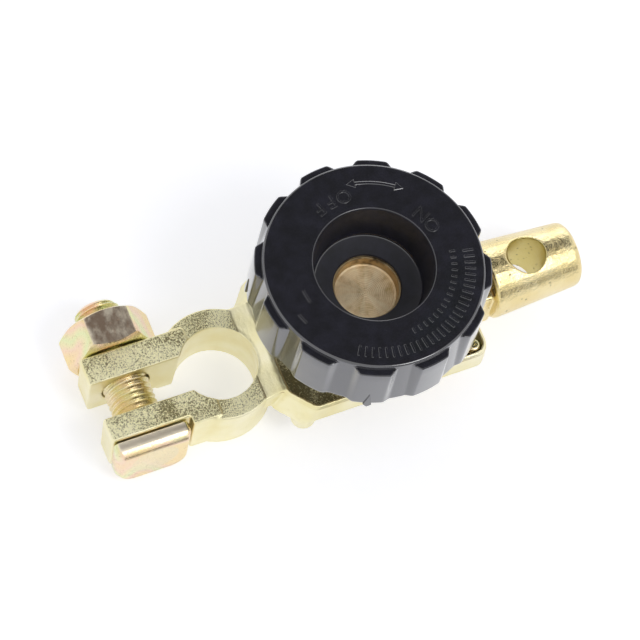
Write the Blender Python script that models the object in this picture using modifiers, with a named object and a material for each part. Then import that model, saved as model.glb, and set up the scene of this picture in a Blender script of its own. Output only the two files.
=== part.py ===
"""Battery disconnect switch with a screw-down knob.

The clamp casting closes on a battery post and carries a shallow tray with a raised contact ring.
The post casting hangs under the tray, insulated from it, and holds a dummy battery post for the
cable clamp. Its threaded tower stands up through the contact ring. Turning the knob winds the
brass stud down the tower until the captive washer bridges the ring and the tower.

Units are metres, +Z is up. The knob turns about the Z axis and the part stands on Z = 0.
The battery clamp points along -X and the dummy post along +X.
"""
import math

import bmesh
import bpy
from mathutils import Matrix, Vector

# clearances between pieces that touch, turn or slide
GAP = 0.0003
MERGE = 0.00001

# battery clamp: a split ring with two ears
RING_AXIS_X = -0.0308
RING_BOTTOM = 0.0015
RING_HEIGHT = 0.0135
RING_RADIUS = 0.0125
RING_DRAFT = 0.0004
RING_EDGE = 0.0006
BORE_RADIUS = 0.00794
BATTERY_TAPER = 1.0 / 18.0
EAR_SLOT = 0.0077
EAR_LENGTH = 0.0265
EAR_UNDERCUT = 0.0009
EAR_STEP_UP = 0.0005
NUT_EAR_WIDTH = 0.0062
HEAD_EAR_WIDTH = 0.0053
EAR_EDGE = 0.0007
HEAD_STOP_WIDTH = 0.0018
HEAD_STOP_CLEARANCE = 0.0007

# clamp bolt and nut
BOLT_REACH = 0.0183
BOLT_HEIGHT = 0.0087
BOLT_RADIUS = 0.0049
BOLT_OVERHANG = 0.0042
BOLT_END_CHAMFER = 0.0010
BOLT_HEAD_WIDTH = 0.0160
BOLT_HEAD_RISE = 0.0062
BOLT_HEAD_DROP = 0.0083
BOLT_HEAD_THICKNESS = 0.0036
BOLT_HEAD_LOWER_ROUND = 0.0044
BOLT_HEAD_UPPER_ROUND = 0.0012
BOLT_HEAD_CHAMFER = 0.0007
NUT_ACROSS_FLATS = 0.0170
NUT_THICKNESS = 0.0080
NUT_CHAMFER = 0.0014

# tray of the clamp casting
TRAY_FLOOR_BOTTOM = 0.0105
TRAY_FLOOR = 0.0020
TRAY_DEPTH = 0.0037
TRAY_LEFT = 0.0206
TRAY_RIGHT = 0.0233
TRAY_HALF_WIDTH = 0.0167
TRAY_CUT_X = 0.0046
TRAY_CUT_Y = 0.0054
TRAY_CORNER_LEFT = 0.0023
TRAY_CORNER_RIGHT = 0.0030
TRAY_WALL = 0.0009
TRAY_LIP = 0.00045
TRAY_LIP_STEP = 0.0004
TRAY_FLARE = 0.0025
TRAY_DRAFT = 0.0003
BOSS_X = -0.0170
BOSS_Y = 0.0141
BOSS_RADIUS = 0.0027
BOSS_BOTTOM = 0.0058
BOSS_TOP = 0.0136
BOSS_LOWER_ROUND = 0.0019
BOSS_UPPER_ROUND = 0.0016
NECK_HALF_WIDTH = 0.0108
NECK_BELOW_RING = 0.0002
HUB_WALL = 0.0036
HUB_RISE = 0.0022

# post casting under the tray
PLATE_THICKNESS = 0.0021
PLATE_INSET = 0.0010
TOWER_WALL = 0.0029
POST_AXIS_HEIGHT = 0.01235
POST_START_X = 0.0290
POST_LENGTH = 0.0208
POST_ROOT_RADIUS = 0.0083
POST_ROOT_EDGE = 0.0009
POST_TIP_EDGE = 0.0014
CROSS_HOLE_RADIUS = 0.0041
CROSS_HOLE_REACH = 0.0092
CROSS_HOLE_CHAMFER = 0.0005
NECK_BAR_HALF_WIDTH = 0.0060
NECK_BAR_DEPTH = 0.0028
NECK_BAR_START_X = 0.0190
NECK_BAR_TOP = 0.0155

# insulation between the castings
INSULATOR_THICKNESS = 0.0007
INSULATOR_INSET = 0.0007
CASTING_CLEARANCE = 0.0008
BUSH_WALL = 0.0013

# knob, stud and captive washer, placed as the knob stands when wound fully out
KNOB_BOTTOM = 0.0267
KNOB_TOP = 0.0406
KNOB_RIM_RADIUS = 0.0227
KNOB_RIM_ROUND = 0.0010
LUG_RING_RADIUS = 0.0238
LUG_RING_DRAFT = 0.0003
LUG_RING_DROP = 0.0010
LUG_COUNT = 12
LUG_PHASE = math.radians(68.0)
SCOOP_RADIUS = 0.0026
SCOOP_DEPTH = 0.0011
POINTER_COUNT = 4
POINTER_WIDTH = 0.0021
POINTER_HEIGHT = 0.0062
POINTER_DROP = 0.0011
POINTER_PROUD = 0.0004
SKIRT_WALL = 0.0022
KNOB_ROOF = 0.0022
WELL_MOUTH_RADIUS = 0.0122
WELL_FLOOR_RADIUS = 0.0112
WELL_MOUTH_ROUND = 0.0006
WELL_WALL = 0.0018
WEB_SLOPE = 0.0010
LIP_THICKNESS = 0.0007
KNOB_RIB_COUNT = 6
KNOB_RIB_WIDTH = 0.0014
KNOB_RIB_RISE = 0.0030
STUD_HEAD_RADIUS = 0.0085
STUD_HEAD_HEIGHT = 0.00375
STUD_RECESS_RADIUS = 0.00665
STUD_RECESS_FLOOR_RADIUS = 0.00625
STUD_RECESS_DEPTH = 0.0021
STUD_NECK_RADIUS = 0.0050
STUD_THREAD_RADIUS = 0.0058
STUD_ENGAGED = 0.0045
STUD_CHAMFER = 0.0009
WASHER_THICKNESS = 0.0016
WASHER_OVERLAP = 0.0026
WASHER_CHAMFER = 0.0003
KNOB_TRAVEL = 0.00875

# base cap under the stud
CAP_HEIGHT = 0.0068
CAP_RADIUS = 0.0110
CAP_WALL = 0.0016
CAP_FLOOR = 0.0011
CAP_EDGE = 0.0010
CAP_FLANGE_THICKNESS = 0.0012
CAP_FLANGE_RADIUS = 0.0034
CAP_SCREW_X = 0.0142

# screws
SCREW_RADIUS = 0.00085
SCREW_HEAD_RADIUS = 0.0015
SCREW_HEAD_HEIGHT = 0.0012
SCREW_RECESS_WIDTH = 0.0004
SCREW_RECESS_DEPTH = 0.0006
LEFT_SCREW_X = -0.0098
LEFT_SCREW_Y = 0.0126
LEFT_SCREW_REACH = 0.0011
LEFT_HOLE_REACH = 0.0014
RIGHT_SCREW_X = 0.0205
RIGHT_SCREW_Y = 0.0139
SCREW_BUSH_WALL = 0.0003
SCREW_BUSH_FLANGE_RADIUS = 0.0016
SCREW_BUSH_FLANGE = 0.0008
SCREW_WASHER_THICKNESS = 0.0005
CAP_SCREW_RADIUS = 0.00145
CAP_SCREW_HEAD_RADIUS = 0.0024
CAP_SCREW_REACH = 0.0036

# facets of round pieces
FINE = 60
MEDIUM = 40
COARSE = 16
ARC_STEPS = 3

# levels that several pieces share
RING_TOP = RING_BOTTOM + RING_HEIGHT
EAR_BOTTOM = RING_BOTTOM + EAR_UNDERCUT
EAR_TOP = RING_TOP + EAR_STEP_UP
TRAY_FLOOR_TOP = TRAY_FLOOR_BOTTOM + TRAY_FLOOR
TRAY_RIM = TRAY_FLOOR_TOP + TRAY_DEPTH
CONTACT_LEVEL = TRAY_FLOOR_TOP + HUB_RISE
INSULATOR_TOP = TRAY_FLOOR_BOTTOM - GAP
INSULATOR_BOTTOM = INSULATOR_TOP - INSULATOR_THICKNESS
PLATE_TOP = INSULATOR_BOTTOM - GAP
PLATE_BOTTOM = PLATE_TOP - PLATE_THICKNESS
WASHER_BOTTOM = CONTACT_LEVEL + KNOB_TRAVEL + GAP
WASHER_TOP = WASHER_BOTTOM + WASHER_THICKNESS
STUD_HEAD_BOTTOM = WASHER_TOP + GAP
STUD_HEAD_TOP = STUD_HEAD_BOTTOM + STUD_HEAD_HEIGHT
WELL_FLOOR_HEIGHT = STUD_HEAD_TOP + GAP + LIP_THICKNESS + WEB_SLOPE
STUD_TIP = CONTACT_LEVEL - STUD_ENGAGED

# radii that follow from what passes through
TOWER_BORE = STUD_THREAD_RADIUS + GAP
TOWER_RADIUS = TOWER_BORE + TOWER_WALL
CENTRE_BUSH_BORE = TOWER_RADIUS + GAP
CENTRE_BUSH_RADIUS = CENTRE_BUSH_BORE + BUSH_WALL
HUB_BORE = CENTRE_BUSH_RADIUS + GAP
HUB_RADIUS = HUB_BORE + HUB_WALL
WASHER_BORE = STUD_NECK_RADIUS + GAP
WASHER_RADIUS = HUB_BORE + WASHER_OVERLAP
SCREW_HOLE = SCREW_RADIUS + GAP
SCREW_BUSH_RADIUS = SCREW_HOLE + SCREW_BUSH_WALL
BUSH_HOLE = SCREW_BUSH_RADIUS + GAP
CAP_SCREW_HOLE = CAP_SCREW_RADIUS + GAP

BOLT_X = RING_AXIS_X - BOLT_REACH
HALF_SLOT = EAR_SLOT / 2
NUT_EAR_FACE = HALF_SLOT + NUT_EAR_WIDTH
HEAD_EAR_FACE = -HALF_SLOT - HEAD_EAR_WIDTH
EAR_END_X = RING_AXIS_X - EAR_LENGTH

TRAY_CORNERS = (
    (-TRAY_LEFT, -TRAY_HALF_WIDTH + TRAY_CUT_Y),
    (-TRAY_LEFT + TRAY_CUT_X, -TRAY_HALF_WIDTH),
    (TRAY_RIGHT, -TRAY_HALF_WIDTH),
    (TRAY_RIGHT, TRAY_HALF_WIDTH),
    (-TRAY_LEFT + TRAY_CUT_X, TRAY_HALF_WIDTH),
    (-TRAY_LEFT, TRAY_HALF_WIDTH - TRAY_CUT_Y),
)
TRAY_CORNER_RADII = [TRAY_CORNER_LEFT] * 2 + [TRAY_CORNER_RIGHT] * 2 + [TRAY_CORNER_LEFT] * 2
LEFT_SCREW_PLACES = (
    ("left_front", LEFT_SCREW_X, -LEFT_SCREW_Y),
    ("left_back", LEFT_SCREW_X, LEFT_SCREW_Y),
)
RIGHT_SCREW_PLACES = (
    ("right_front", RIGHT_SCREW_X, -RIGHT_SCREW_Y),
    ("right_back", RIGHT_SCREW_X, RIGHT_SCREW_Y),
)


def clear_scene():
    """Remove what the file starts with."""
    for thing in list(bpy.data.objects):
        bpy.data.objects.remove(thing, do_unlink=True)


def make_collection(name):
    """Return a new collection linked to the scene."""
    collection = bpy.data.collections.new(name)
    bpy.context.scene.collection.children.link(collection)
    return collection


def make_finish(name, colour, roughness, metallic):
    """Return a plain Principled material."""
    finish = bpy.data.materials.new(name)
    finish.use_nodes = True
    shader = finish.node_tree.nodes["Principled BSDF"]
    shader.inputs["Base Color"].default_value = (*colour, 1.0)
    shader.inputs["Roughness"].default_value = roughness
    shader.inputs["Metallic"].default_value = metallic
    return finish


clear_scene()
PARTS = make_collection("battery_disconnect_switch")
CUTTERS = make_collection("cutters")
GOLD = make_finish("gold_plated_casting", (0.80, 0.70, 0.40), 0.35, 1.0)
BRASS = make_finish("turned_brass", (0.62, 0.46, 0.22), 0.35, 1.0)
COPPER = make_finish("contact_copper", (0.72, 0.42, 0.28), 0.35, 1.0)
ZINC = make_finish("yellow_zinc", (0.75, 0.68, 0.42), 0.30, 1.0)
BLACK = make_finish("black_knob_plastic", (0.018, 0.018, 0.022), 0.30, 0.0)
FIBRE = make_finish("insulating_plastic", (0.05, 0.05, 0.05), 0.60, 0.0)


def add_part(name, mesh, finish, at=(0.0, 0.0, 0.0), turn=(0.0, 0.0, 0.0)):
    """Add a named piece of the switch."""
    part = bpy.data.objects.new(name, mesh)
    part.location = at
    part.rotation_euler = turn
    if finish.name not in mesh.materials:
        mesh.materials.append(finish)
    PARTS.objects.link(part)
    return part


def add_cutter(name, mesh, at=(0.0, 0.0, 0.0), turn=(0.0, 0.0, 0.0)):
    """Add a shape that only cuts or joins other shapes."""
    cutter = bpy.data.objects.new(name, mesh)
    cutter.location = at
    cutter.rotation_euler = turn
    cutter.hide_render = True
    cutter.display_type = "WIRE"
    CUTTERS.objects.link(cutter)
    return cutter


def combine(part, cutter, operation):
    """Join, cut or intersect a part with another shape."""
    change = part.modifiers.new(cutter.name, "BOOLEAN")
    change.operation = operation
    change.solver = "EXACT"
    change.object = cutter


def cut(part, *cutters):
    """Cut several shapes out of a part."""
    for cutter in cutters:
        combine(part, cutter, "DIFFERENCE")


def join(part, *shapes):
    """Join several shapes to a part."""
    for shape in shapes:
        combine(part, shape, "UNION")


def profile_mesh(name, profile, closed=False):
    """Return a wire mesh of (radius, height) points, ready for a Screw modifier."""
    mesh = bpy.data.meshes.new(name)
    points = [(radius, 0.0, height) for radius, height in profile]
    edges = [(i, i + 1) for i in range(len(points) - 1)]
    if closed:
        edges.append((len(points) - 1, 0))
    mesh.from_pydata(points, edges, [])
    return mesh


def spin(thing, steps):
    """Turn a profile about its own Z axis."""
    screw = thing.modifiers.new("turning", "SCREW")
    screw.axis = "Z"
    screw.angle = math.tau
    screw.steps = steps
    screw.render_steps = steps
    screw.use_merge_vertices = True
    screw.merge_threshold = MERGE
    return thing


def arc(centre, radius, start, end, steps=ARC_STEPS):
    """Return points on an arc, with angles in degrees."""
    points = []
    for i in range(steps + 1):
        angle = math.radians(start + (end - start) * i / steps)
        points.append((centre[0] + radius * math.cos(angle), centre[1] + radius * math.sin(angle)))
    return points


def cylinder_profile(radius, bottom, top):
    """Return the profile of a solid cylinder, from the top centre down to the bottom centre."""
    return [(0.0, top), (radius, top), (radius, bottom), (0.0, bottom)]


def turned_cutter(name, profile, steps, at=(0.0, 0.0, 0.0), turn=(0.0, 0.0, 0.0)):
    """Add a turned shape that cuts or joins."""
    return spin(add_cutter(name, profile_mesh(name, profile), at, turn), steps)


def peg(name, radius, bottom, top, steps):
    """Add an upright cylinder on the knob's axis that joins another shape."""
    return turned_cutter(name, cylinder_profile(radius, bottom, top), steps)


def drill(name, radius, bottom, top, steps, x=0.0, y=0.0):
    """Add an upright round cutter, turned half a facet so that its edges miss those it cuts."""
    return turned_cutter(
        name, cylinder_profile(radius, bottom, top), steps, (x, y, 0.0), (0.0, 0.0, math.pi / steps))


def inset(corners, distance):
    """Move every side of a closed outline, listed anticlockwise, inwards by a distance."""
    count = len(corners)
    lines = []
    for i in range(count):
        start = Vector(corners[i])
        along = (Vector(corners[(i + 1) % count]) - start).normalized()
        inward = Vector((-along.y, along.x))
        lines.append((start + inward * distance, along))
    moved = []
    for i in range(count):
        point_a, along_a = lines[i - 1]
        point_b, along_b = lines[i]
        across = along_a.x * along_b.y - along_a.y * along_b.x
        offset = point_b - point_a
        reach = (offset.x * along_b.y - offset.y * along_b.x) / across
        moved.append(tuple(point_a + along_a * reach))
    return moved


def rounded(corners, radii):
    """Round each corner of a closed outline with an arc."""
    count = len(corners)
    outline = []
    for i in range(count):
        here = Vector(corners[i])
        back = (Vector(corners[i - 1]) - here).normalized()
        ahead = (Vector(corners[(i + 1) % count]) - here).normalized()
        half = back.angle(ahead) / 2
        radius = radii[i]
        centre = here + (back + ahead).normalized() * (radius / math.sin(half))
        start = here + back * (radius / math.tan(half)) - centre
        end = here + ahead * (radius / math.tan(half)) - centre
        for step in range(ARC_STEPS + 1):
            way = start.lerp(end, step / ARC_STEPS).normalized()
            outline.append(tuple(centre + way * radius))
    return outline


def plate_mesh(name, outline, bottom, top):
    """Return a flat plate with the given outline, made from a filled curve."""
    curve = bpy.data.curves.new(name, "CURVE")
    curve.dimensions = "2D"
    curve.fill_mode = "BOTH"
    curve.extrude = (top - bottom) / 2
    spline = curve.splines.new("POLY")
    spline.points.add(len(outline) - 1)
    for point, (x, y) in zip(spline.points, outline):
        point.co = (x, y, 0.0, 1.0)
    spline.use_cyclic_u = True
    holder = bpy.data.objects.new(name, curve)
    PARTS.objects.link(holder)
    bpy.context.view_layer.update()
    evaluated = holder.evaluated_get(bpy.context.evaluated_depsgraph_get())
    mesh = bpy.data.meshes.new_from_object(evaluated)
    bpy.data.objects.remove(holder, do_unlink=True)
    bpy.data.curves.remove(curve)
    form = bmesh.new()
    form.from_mesh(mesh)
    bmesh.ops.remove_doubles(form, verts=form.verts, dist=MERGE)
    bmesh.ops.translate(form, verts=form.verts, vec=(0.0, 0.0, (top + bottom) / 2))
    bmesh.ops.recalc_face_normals(form, faces=form.faces)
    form.to_mesh(mesh)
    form.free()
    mesh.name = name
    return mesh


def loft_mesh(name, sections):
    """Return a closed solid through (outline, height) sections with equal point counts."""
    form = bmesh.new()
    rings = []
    for outline, height in sections:
        rings.append([form.verts.new((x, y, height)) for x, y in outline])
    for lower, upper in zip(rings, rings[1:]):
        for i in range(len(lower)):
            j = (i + 1) % len(lower)
            form.faces.new((lower[i], lower[j], upper[j], upper[i]))
    form.faces.new(list(reversed(rings[0])))
    form.faces.new(rings[-1])
    mesh = bpy.data.meshes.new(name)
    form.to_mesh(mesh)
    form.free()
    return mesh


def block_mesh(name, low, high, round_edges=0.0, steps=2):
    """Return a box between two corners, with all its edges rounded."""
    form = bmesh.new()
    bmesh.ops.create_cube(form, size=1.0)
    size = Vector(high) - Vector(low)
    middle = (Vector(high) + Vector(low)) / 2
    bmesh.ops.transform(form, verts=form.verts, matrix=Matrix.Translation(middle) @ Matrix.Diagonal((*size, 1.0)))
    if round_edges > 0:
        bmesh.ops.bevel(form, geom=form.edges, offset=round_edges, segments=steps, profile=0.5, affect="EDGES")
    mesh = bpy.data.meshes.new(name)
    form.to_mesh(mesh)
    form.free()
    return mesh


def block(name, low, high, round_edges=0.0, steps=2):
    """Add a box that cuts or joins."""
    return add_cutter(name, block_mesh(name, low, high, round_edges, steps))


def tray_outline(distance):
    """Return the tray's rounded outline, moved inwards by a distance."""
    radii = [radius - distance for radius in TRAY_CORNER_RADII]
    return rounded(inset(TRAY_CORNERS, distance), radii)


def tray_foot_outline():
    """Return the wider outline where the tray's sloping walls end at its underside."""
    foot = []
    for x, y in TRAY_CORNERS:
        side = math.copysign(1.0, y)
        shift = -TRAY_FLARE if x < 0 else TRAY_DRAFT
        if abs(y) < TRAY_HALF_WIDTH:
            foot.append((x + shift, y))
        else:
            foot.append((x + shift, y + side * TRAY_DRAFT))
    return rounded(foot, TRAY_CORNER_RADII)


def ring_profile():
    """Return the drafted outside of the clamp ring."""
    top_radius = RING_RADIUS
    bottom_radius = RING_RADIUS - RING_DRAFT
    return (
        [(0.0, RING_TOP)]
        + arc((top_radius - RING_EDGE, RING_TOP - RING_EDGE), RING_EDGE, 90, 0)
        + arc((bottom_radius - RING_EDGE, RING_BOTTOM + RING_EDGE), RING_EDGE, 0, -90)
        + [(0.0, RING_BOTTOM)]
    )


def build_clamp_jaws():
    """Split ring with its two ears, the bolt hole and the stop that keeps the bolt head from turning."""
    jaws = turned_cutter("clamp_ring", ring_profile(), MEDIUM, (RING_AXIS_X, 0.0, 0.0))
    ear_root_x = RING_AXIS_X - BORE_RADIUS / 2
    inner = HALF_SLOT / 2
    nut_ear = block("nut_ear", (EAR_END_X, inner, EAR_BOTTOM), (ear_root_x, NUT_EAR_FACE, EAR_TOP), EAR_EDGE)
    head_ear = block("head_ear", (EAR_END_X, HEAD_EAR_FACE, EAR_BOTTOM), (ear_root_x, -inner, EAR_TOP), EAR_EDGE)
    stop_start_x = BOLT_X + BOLT_HEAD_WIDTH / 2 + HEAD_STOP_CLEARANCE
    stop_low = (stop_start_x, HEAD_EAR_FACE - HEAD_STOP_WIDTH, EAR_BOTTOM + GAP / 3)
    stop_high = (ear_root_x + EAR_EDGE, -HALF_SLOT - GAP, EAR_TOP - GAP / 3)
    join(jaws, nut_ear, head_ear, block("head_stop", stop_low, stop_high, EAR_EDGE / 2))
    slot_end_x = ear_root_x + 2 * EAR_EDGE
    slot = block("ear_slot", (EAR_END_X - EAR_EDGE, -HALF_SLOT, 0.0), (slot_end_x, HALF_SLOT, EAR_TOP + EAR_EDGE))
    ears_across = NUT_EAR_FACE - HEAD_EAR_FACE
    bolt_hole = turned_cutter(
        "bolt_hole", cylinder_profile(BOLT_RADIUS + GAP, -ears_across, ears_across), COARSE,
        (BOLT_X, 0.0, BOLT_HEIGHT), (math.pi / 2, 0.0, 0.0))
    cut(jaws, slot, bolt_hole)
    return jaws


def corner_boss(place, side):
    """Add one of the two rounded bosses that stand out of the tray's left corners."""
    profile = (
        [(0.0, BOSS_TOP)]
        + arc((BOSS_RADIUS - BOSS_UPPER_ROUND, BOSS_TOP - BOSS_UPPER_ROUND), BOSS_UPPER_ROUND, 90, 0)
        + arc((BOSS_RADIUS - BOSS_LOWER_ROUND, BOSS_BOTTOM + BOSS_LOWER_ROUND), BOSS_LOWER_ROUND, 0, -90)
        + [(0.0, BOSS_BOTTOM)]
    )
    return turned_cutter("corner_boss_" + place, profile, COARSE, (BOSS_X, side * BOSS_Y, 0.0))


def boss_notch(name, place, side, clearance):
    """Add the cutter that clears one corner boss."""
    radius = BOSS_RADIUS + clearance
    return drill(f"{name}_{place}", radius, BOSS_BOTTOM - GAP, BOSS_TOP + GAP, MEDIUM, BOSS_X, side * BOSS_Y)


def build_clamp_casting():
    """Clamp jaws, neck and tray with its bosses and contact ring, cast as one piece."""
    rim_height = TRAY_RIM - TRAY_LIP_STEP
    sections = [(tray_foot_outline(), TRAY_FLOOR_BOTTOM), (tray_outline(0.0), rim_height)]
    casting = add_part("clamp_casting", loft_mesh("clamp_casting", sections), GOLD)
    lip = add_cutter(
        "tray_lip", plate_mesh("tray_lip", tray_outline(TRAY_WALL - TRAY_LIP), TRAY_FLOOR_TOP, TRAY_RIM))
    neck_low = (RING_AXIS_X + BORE_RADIUS / 2, -NECK_HALF_WIDTH, TRAY_FLOOR_BOTTOM + GAP / 3)
    neck_high = (-TRAY_LEFT + TRAY_WALL / 2, NECK_HALF_WIDTH, RING_TOP - NECK_BELOW_RING)
    bosses = [corner_boss("front", -1.0), corner_boss("back", 1.0)]
    join(casting, *bosses, lip, block("neck", neck_low, neck_high), build_clamp_jaws())

    below = RING_BOTTOM - RING_EDGE
    above = EAR_TOP + RING_EDGE
    bore_at = [BORE_RADIUS + (RING_TOP - height) * BATTERY_TAPER for height in (above, below)]
    bore = turned_cutter(
        "battery_post_bore", [(0.0, above), (bore_at[0], above), (bore_at[1], below), (0.0, below)],
        MEDIUM, (RING_AXIS_X, 0.0, 0.0), (0.0, 0.0, math.pi / MEDIUM))
    pocket = add_cutter(
        "tray_pocket", plate_mesh("tray_pocket", tray_outline(TRAY_WALL), TRAY_FLOOR_TOP, KNOB_BOTTOM))
    cut(casting, bore, pocket)
    join(casting, peg("contact_hub", HUB_RADIUS, TRAY_FLOOR_BOTTOM + TRAY_FLOOR / 2, CONTACT_LEVEL, FINE))
    cut(casting, drill("hub_bore", HUB_BORE, PLATE_BOTTOM, KNOB_BOTTOM, FINE))
    for place, x, y in RIGHT_SCREW_PLACES:
        cut(casting, drill("bush_hole_" + place, BUSH_HOLE, PLATE_BOTTOM, TRAY_RIM, COARSE, x, y))
    hole_top = TRAY_FLOOR_BOTTOM + LEFT_HOLE_REACH
    for place, x, y in LEFT_SCREW_PLACES:
        cut(casting, drill("screw_end_" + place, SCREW_HOLE, PLATE_BOTTOM, hole_top, COARSE, x, y))
    return casting


def build_post_casting():
    """Lower plate, threaded tower and dummy battery post, cast as one piece."""
    plate = add_part(
        "post_casting", plate_mesh("post_casting", tray_outline(PLATE_INSET), PLATE_BOTTOM, PLATE_TOP), GOLD)
    tower = peg("tower", TOWER_RADIUS, PLATE_BOTTOM + PLATE_THICKNESS / 2, CONTACT_LEVEL, MEDIUM)
    join(plate, tower)
    bar_bottom = PLATE_BOTTOM - NECK_BAR_DEPTH
    bar_end_x = POST_START_X + POST_ROOT_EDGE
    bar = block(
        "neck_bar", (NECK_BAR_START_X, -NECK_BAR_HALF_WIDTH, bar_bottom),
        (bar_end_x, NECK_BAR_HALF_WIDTH, PLATE_TOP - GAP / 3), EAR_EDGE)
    riser_start_x = TRAY_RIGHT + TRAY_DRAFT + 2 * GAP
    riser = block(
        "neck_riser", (riser_start_x, -NECK_BAR_HALF_WIDTH + GAP, bar_bottom + GAP),
        (bar_end_x, NECK_BAR_HALF_WIDTH - GAP, NECK_BAR_TOP), EAR_EDGE)
    tip_radius = POST_ROOT_RADIUS - POST_LENGTH * BATTERY_TAPER
    post_profile = (
        [(0.0, POST_LENGTH)]
        + arc((tip_radius - POST_TIP_EDGE, POST_LENGTH - POST_TIP_EDGE), POST_TIP_EDGE, 90, 0)
        + arc((POST_ROOT_RADIUS - POST_ROOT_EDGE, POST_ROOT_EDGE), POST_ROOT_EDGE, 0, -90)
        + [(0.0, 0.0)]
    )
    post = turned_cutter(
        "dummy_post", post_profile, MEDIUM, (POST_START_X, 0.0, POST_AXIS_HEIGHT), (0.0, math.pi / 2, 0.0))
    join(plate, bar, riser, post)

    hole_x = POST_START_X + CROSS_HOLE_REACH
    crown = POST_ROOT_RADIUS - CROSS_HOLE_REACH * BATTERY_TAPER
    low = POST_AXIS_HEIGHT - crown - CROSS_HOLE_CHAMFER
    high = POST_AXIS_HEIGHT + crown + CROSS_HOLE_CHAMFER
    flare = CROSS_HOLE_RADIUS + 2 * CROSS_HOLE_CHAMFER
    hole_profile = [
        (0.0, high), (flare, high), (CROSS_HOLE_RADIUS, high - 2 * CROSS_HOLE_CHAMFER),
        (CROSS_HOLE_RADIUS, low + 2 * CROSS_HOLE_CHAMFER), (flare, low), (0.0, low)]
    cut(plate, turned_cutter("cross_hole", hole_profile, 2 * COARSE, (hole_x, 0.0, 0.0)))
    cut(plate, drill("ring_notch", RING_RADIUS + CASTING_CLEARANCE, 0.0, TRAY_RIM, MEDIUM, RING_AXIS_X))
    cut(plate, drill("tower_bore", TOWER_BORE, bar_bottom - GAP, CONTACT_LEVEL + GAP, MEDIUM))
    for place, side in (("front", -1.0), ("back", 1.0)):
        cut(plate, boss_notch("boss_notch", place, side, CASTING_CLEARANCE))
    for place, x, y in RIGHT_SCREW_PLACES:
        cut(plate, drill("screw_hole_" + place, SCREW_HOLE, bar_bottom, TRAY_RIM, COARSE, x, y))
    for place, x, y in LEFT_SCREW_PLACES:
        cut(plate, drill("bush_hole_" + place, BUSH_HOLE, bar_bottom, TRAY_RIM, COARSE, x, y))
    for place, x in (("left", -CAP_SCREW_X), ("right", CAP_SCREW_X)):
        cut(plate, drill("cap_screw_hole_" + place, CAP_SCREW_HOLE, 0.0, PLATE_TOP + GAP, COARSE, x))
    return plate


def build_insulation():
    """Flat insulating plate between the castings and the bush round the tower."""
    outline = tray_outline(INSULATOR_INSET)
    sheet = add_part(
        "insulating_plate", plate_mesh("insulating_plate", outline, INSULATOR_BOTTOM, INSULATOR_TOP), FIBRE)
    cut(sheet, drill("plate_notch", RING_RADIUS + GAP, PLATE_BOTTOM, TRAY_RIM, MEDIUM, RING_AXIS_X))
    cut(sheet, drill("plate_bore", CENTRE_BUSH_BORE, PLATE_BOTTOM, TRAY_RIM, MEDIUM))
    for place, side in (("front", -1.0), ("back", 1.0)):
        cut(sheet, boss_notch("sheet_notch", place, side, GAP))
    for place, x, y in LEFT_SCREW_PLACES + RIGHT_SCREW_PLACES:
        cut(sheet, drill("plate_hole_" + place, SCREW_HOLE, PLATE_BOTTOM, TRAY_RIM, COARSE, x, y))
    bush_profile = [
        (CENTRE_BUSH_BORE, CONTACT_LEVEL - GAP), (CENTRE_BUSH_RADIUS, CONTACT_LEVEL - GAP),
        (CENTRE_BUSH_RADIUS, TRAY_FLOOR_BOTTOM), (CENTRE_BUSH_BORE, TRAY_FLOOR_BOTTOM)]
    bush = add_part("centre_bush", profile_mesh("centre_bush", bush_profile, closed=True), FIBRE)
    spin(bush, MEDIUM)


def build_clamp_bolt():
    """D-headed clamp bolt lying along Y, its flat top seen level with the ear."""
    across = NUT_EAR_FACE - HEAD_EAR_FACE
    length = across + GAP + NUT_THICKNESS + BOLT_OVERHANG
    head_face = HEAD_EAR_FACE - GAP
    shank_end = head_face + length
    half = BOLT_HEAD_WIDTH / 2
    corners = [(-half, -BOLT_HEAD_DROP), (half, -BOLT_HEAD_DROP), (half, BOLT_HEAD_RISE), (-half, BOLT_HEAD_RISE)]
    radii = [BOLT_HEAD_LOWER_ROUND, BOLT_HEAD_LOWER_ROUND, BOLT_HEAD_UPPER_ROUND, BOLT_HEAD_UPPER_ROUND]
    full = rounded(corners, radii)
    smaller = rounded(inset(corners, BOLT_HEAD_CHAMFER), [r - BOLT_HEAD_CHAMFER / 2 for r in radii])
    back = BOLT_HEAD_THICKNESS
    sections = [(full, 0.0), (full, back - BOLT_HEAD_CHAMFER), (smaller, back)]
    upright = (math.pi / 2, 0.0, 0.0)
    bolt = add_part(
        "clamp_bolt", loft_mesh("clamp_bolt", sections), ZINC, (BOLT_X, head_face, BOLT_HEIGHT), upright)
    reach = shank_end - head_face
    shank_profile = [
        (0.0, BOLT_HEAD_THICKNESS / 2), (BOLT_RADIUS, BOLT_HEAD_THICKNESS / 2),
        (BOLT_RADIUS, BOLT_END_CHAMFER - reach), (BOLT_RADIUS - BOLT_END_CHAMFER, -reach), (0.0, -reach)]
    shank = turned_cutter("bolt_shank", shank_profile, MEDIUM, (BOLT_X, head_face, BOLT_HEIGHT), upright)
    join(bolt, shank)


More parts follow.
